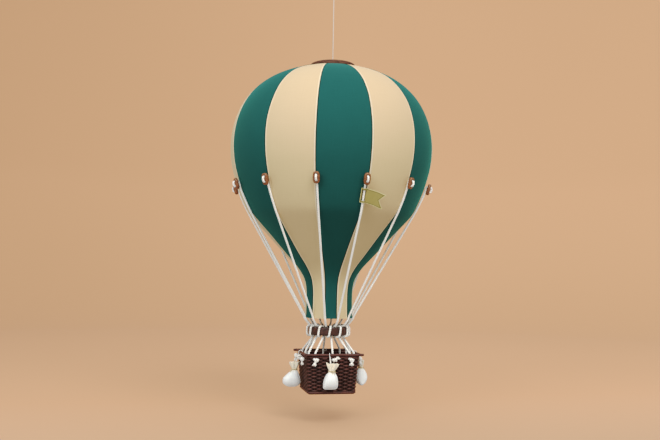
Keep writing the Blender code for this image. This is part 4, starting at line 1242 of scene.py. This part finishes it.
ruffle = smooth_sections(BAG_RUFFLE, 4)
rings = [("inner", *section) for section in ruffle[2:]]
rings += [("outer", *section) for section in reversed(ruffle[1:])]
rings += [("body", *section) for section in smooth_sections(BAG_BODY, 4)]
for number, (side, bearing) in enumerate(SIDES.items()):
    sag, away, wide, deep, skew = BAG_HANGS[side]
    chance = random.Random(40 + number)
    phases = [chance.uniform(0, 6.3) for _ in range(8)]

    def hung(across, out, drop):
        sideways, outward = BAG_SIDE_OFFSET + across / 1000, RIM_HALF + out / 1000
        return side_point(bearing, sideways, outward, RIM_HEIGHT - drop / 1000)

    points, cream_and_gather_shade, marks = [], [], []
    travelled, before = -0.3, rings[0][3]
    for kind, half_width, half_depth, drop in rings:
        travelled += abs(drop - before) + 0.3
        before = drop
        for k in range(BAG_AROUND):
            turn = 2 * math.pi * k / BAG_AROUND
            section = half_width, half_depth, drop, turn, phases
            if kind == "body":
                x, y, height = body_point(*section)
            else:
                x, y, height = ruffle_point(*section, skew, kind == "inner")
            x += skew * (36 - drop) / 20
            if side == BAG_TURNED:
                height -= BAG_SLUMP * unit((drop - 38) / 8) * abs(math.cos(turn)) ** 3
                upper = unit((36 - drop) / 12)
                x, y = y, x * (1 - 0.35 * upper) - BAG_LEAN * upper
            points.append(tuple(hung(x * wide, away + y * deep, height + sag)))
            # the body's top 3.5 mm below the tie: painted shade in the gathers
            cream_and_gather_shade.append(max(0.0, 1 - (drop - BAG_NECK) / 3.5) if kind == "body" else 1.0)
            marks.append((k / BAG_AROUND * 0.06, travelled / 1000))
    faces, uvs = [], []
    for r in range(len(rings) - 1):
        for k in range(BAG_AROUND):
            a, b = r * BAG_AROUND + k, r * BAG_AROUND + (k + 1) % BAG_AROUND
            c, d = a + BAG_AROUND, b + BAG_AROUND
            faces.append((a, c, d, b))
            u = (k + 1) / BAG_AROUND * 0.06
            uvs += [marks[a], marks[c], (u, marks[d][1]), (u, marks[b][1])]
    last = (len(rings) - 1) * BAG_AROUND
    faces += [tuple(range(BAG_AROUND)), tuple(range(last + BAG_AROUND - 1, last - 1, -1))]
    uvs += marks[:BAG_AROUND] + marks[last:][::-1]
    bag = built(f"sand_bag_{side}", points, faces, uvs, "ruffle", cream_and_gather_shade)
    bag.data.materials.append(bag_cotton)
    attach(bag, f"bag_{side}")
    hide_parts(f"sandbag_{side}")

    tie = Bundle()
    neck_wide, neck_deep, neck_out = 4.5 * wide + 0.35, 3.2 * deep + 0.35, away
    if side == BAG_TURNED:
        neck_wide, neck_deep = 3.2 * wide + 0.35, 4.5 * 0.65 * deep + 0.35
        neck_out = away - BAG_LEAN * deep
    neck_side = skew * 0.65 * wide
    wound = []
    for step in range(97):
        angle = step / 96 * TIE_TURNS * 2 * math.pi
        across, out = neck_side + neck_wide * math.cos(angle), neck_out + neck_deep * math.sin(angle)
        wound.append(hung(across, out, 22.2 + sag + TIE_HEIGHT * step / 96))
    tie.rope(wound, TIE_RADIUS, **THREAD_TWIST)
    knot_side, knot_out = neck_side + 1.6, neck_out + neck_deep
    knot = hung(knot_side, knot_out + 0.3, 23.2 + sag)
    for way, drop in ((-1, 3.4), (1, 4.4)):
        bow = [knot]
        for angle in range(20, 341, 40):
            turn = math.radians(angle)
            across = knot_side + way * 1.7 * (1 - math.cos(turn))
            out = knot_out + 0.7 + 0.4 * math.sin(turn / 2)
            bow.append(hung(across, out, 23.9 + sag + 0.9 * math.sin(turn)))
        bow.append(knot)
        tie.rope(rounded(bow, 0.0008, 3), BOW_RADIUS, **THREAD_TWIST)
        tail = [
            knot, hung(knot_side + way * 0.9, knot_out + 1.4, 24.6 + sag),
            hung(knot_side + way * 1.5, knot_out + 3.4, 23.4 + drop + sag),
        ]
        tie.rope(rounded(tail, 0.0012, 4), BOW_RADIUS, **THREAD_TWIST)
    thread = tie.mesh(f"bag_tie_{side}")
    thread.data.materials.append(beige_thread)
    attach(thread, f"bag_{side}")

    ruffle_top = 12.2 + sag - 0.3
    into = neck_out * 0.85
    leg = [(into, ruffle_top + 6), (into * 0.8, ruffle_top)]
    string_points = [(-LEG_OFFSET, *place) for place in leg] + [(-0.6, 3.6, 4.5)]
    for step in range(15):
        turn = math.radians(step / 14 * 290)
        across = -0.9 + 1.8 * step / 14
        string_points.append((across, LOOP_REACH * math.cos(turn), -LOOP_REACH * math.sin(turn)))
    string_points += [(0.6, 3.6, 5.2)] + [(LEG_OFFSET, *place) for place in reversed(leg)]
    hanger = Bundle()
    string_route = rounded([hung(*place) for place in string_points], 0.0012, 3)
    hanger.rope(string_route, BAG_STRING_RADIUS, BAG_STRING_LAY, sides=5, steps=8)
    loop = hanger.mesh(f"bag_string_{side}")
    loop.data.materials.append(cotton)
    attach(loop, f"bag_{side}")
    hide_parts(f"sandbag_cord_{side}")
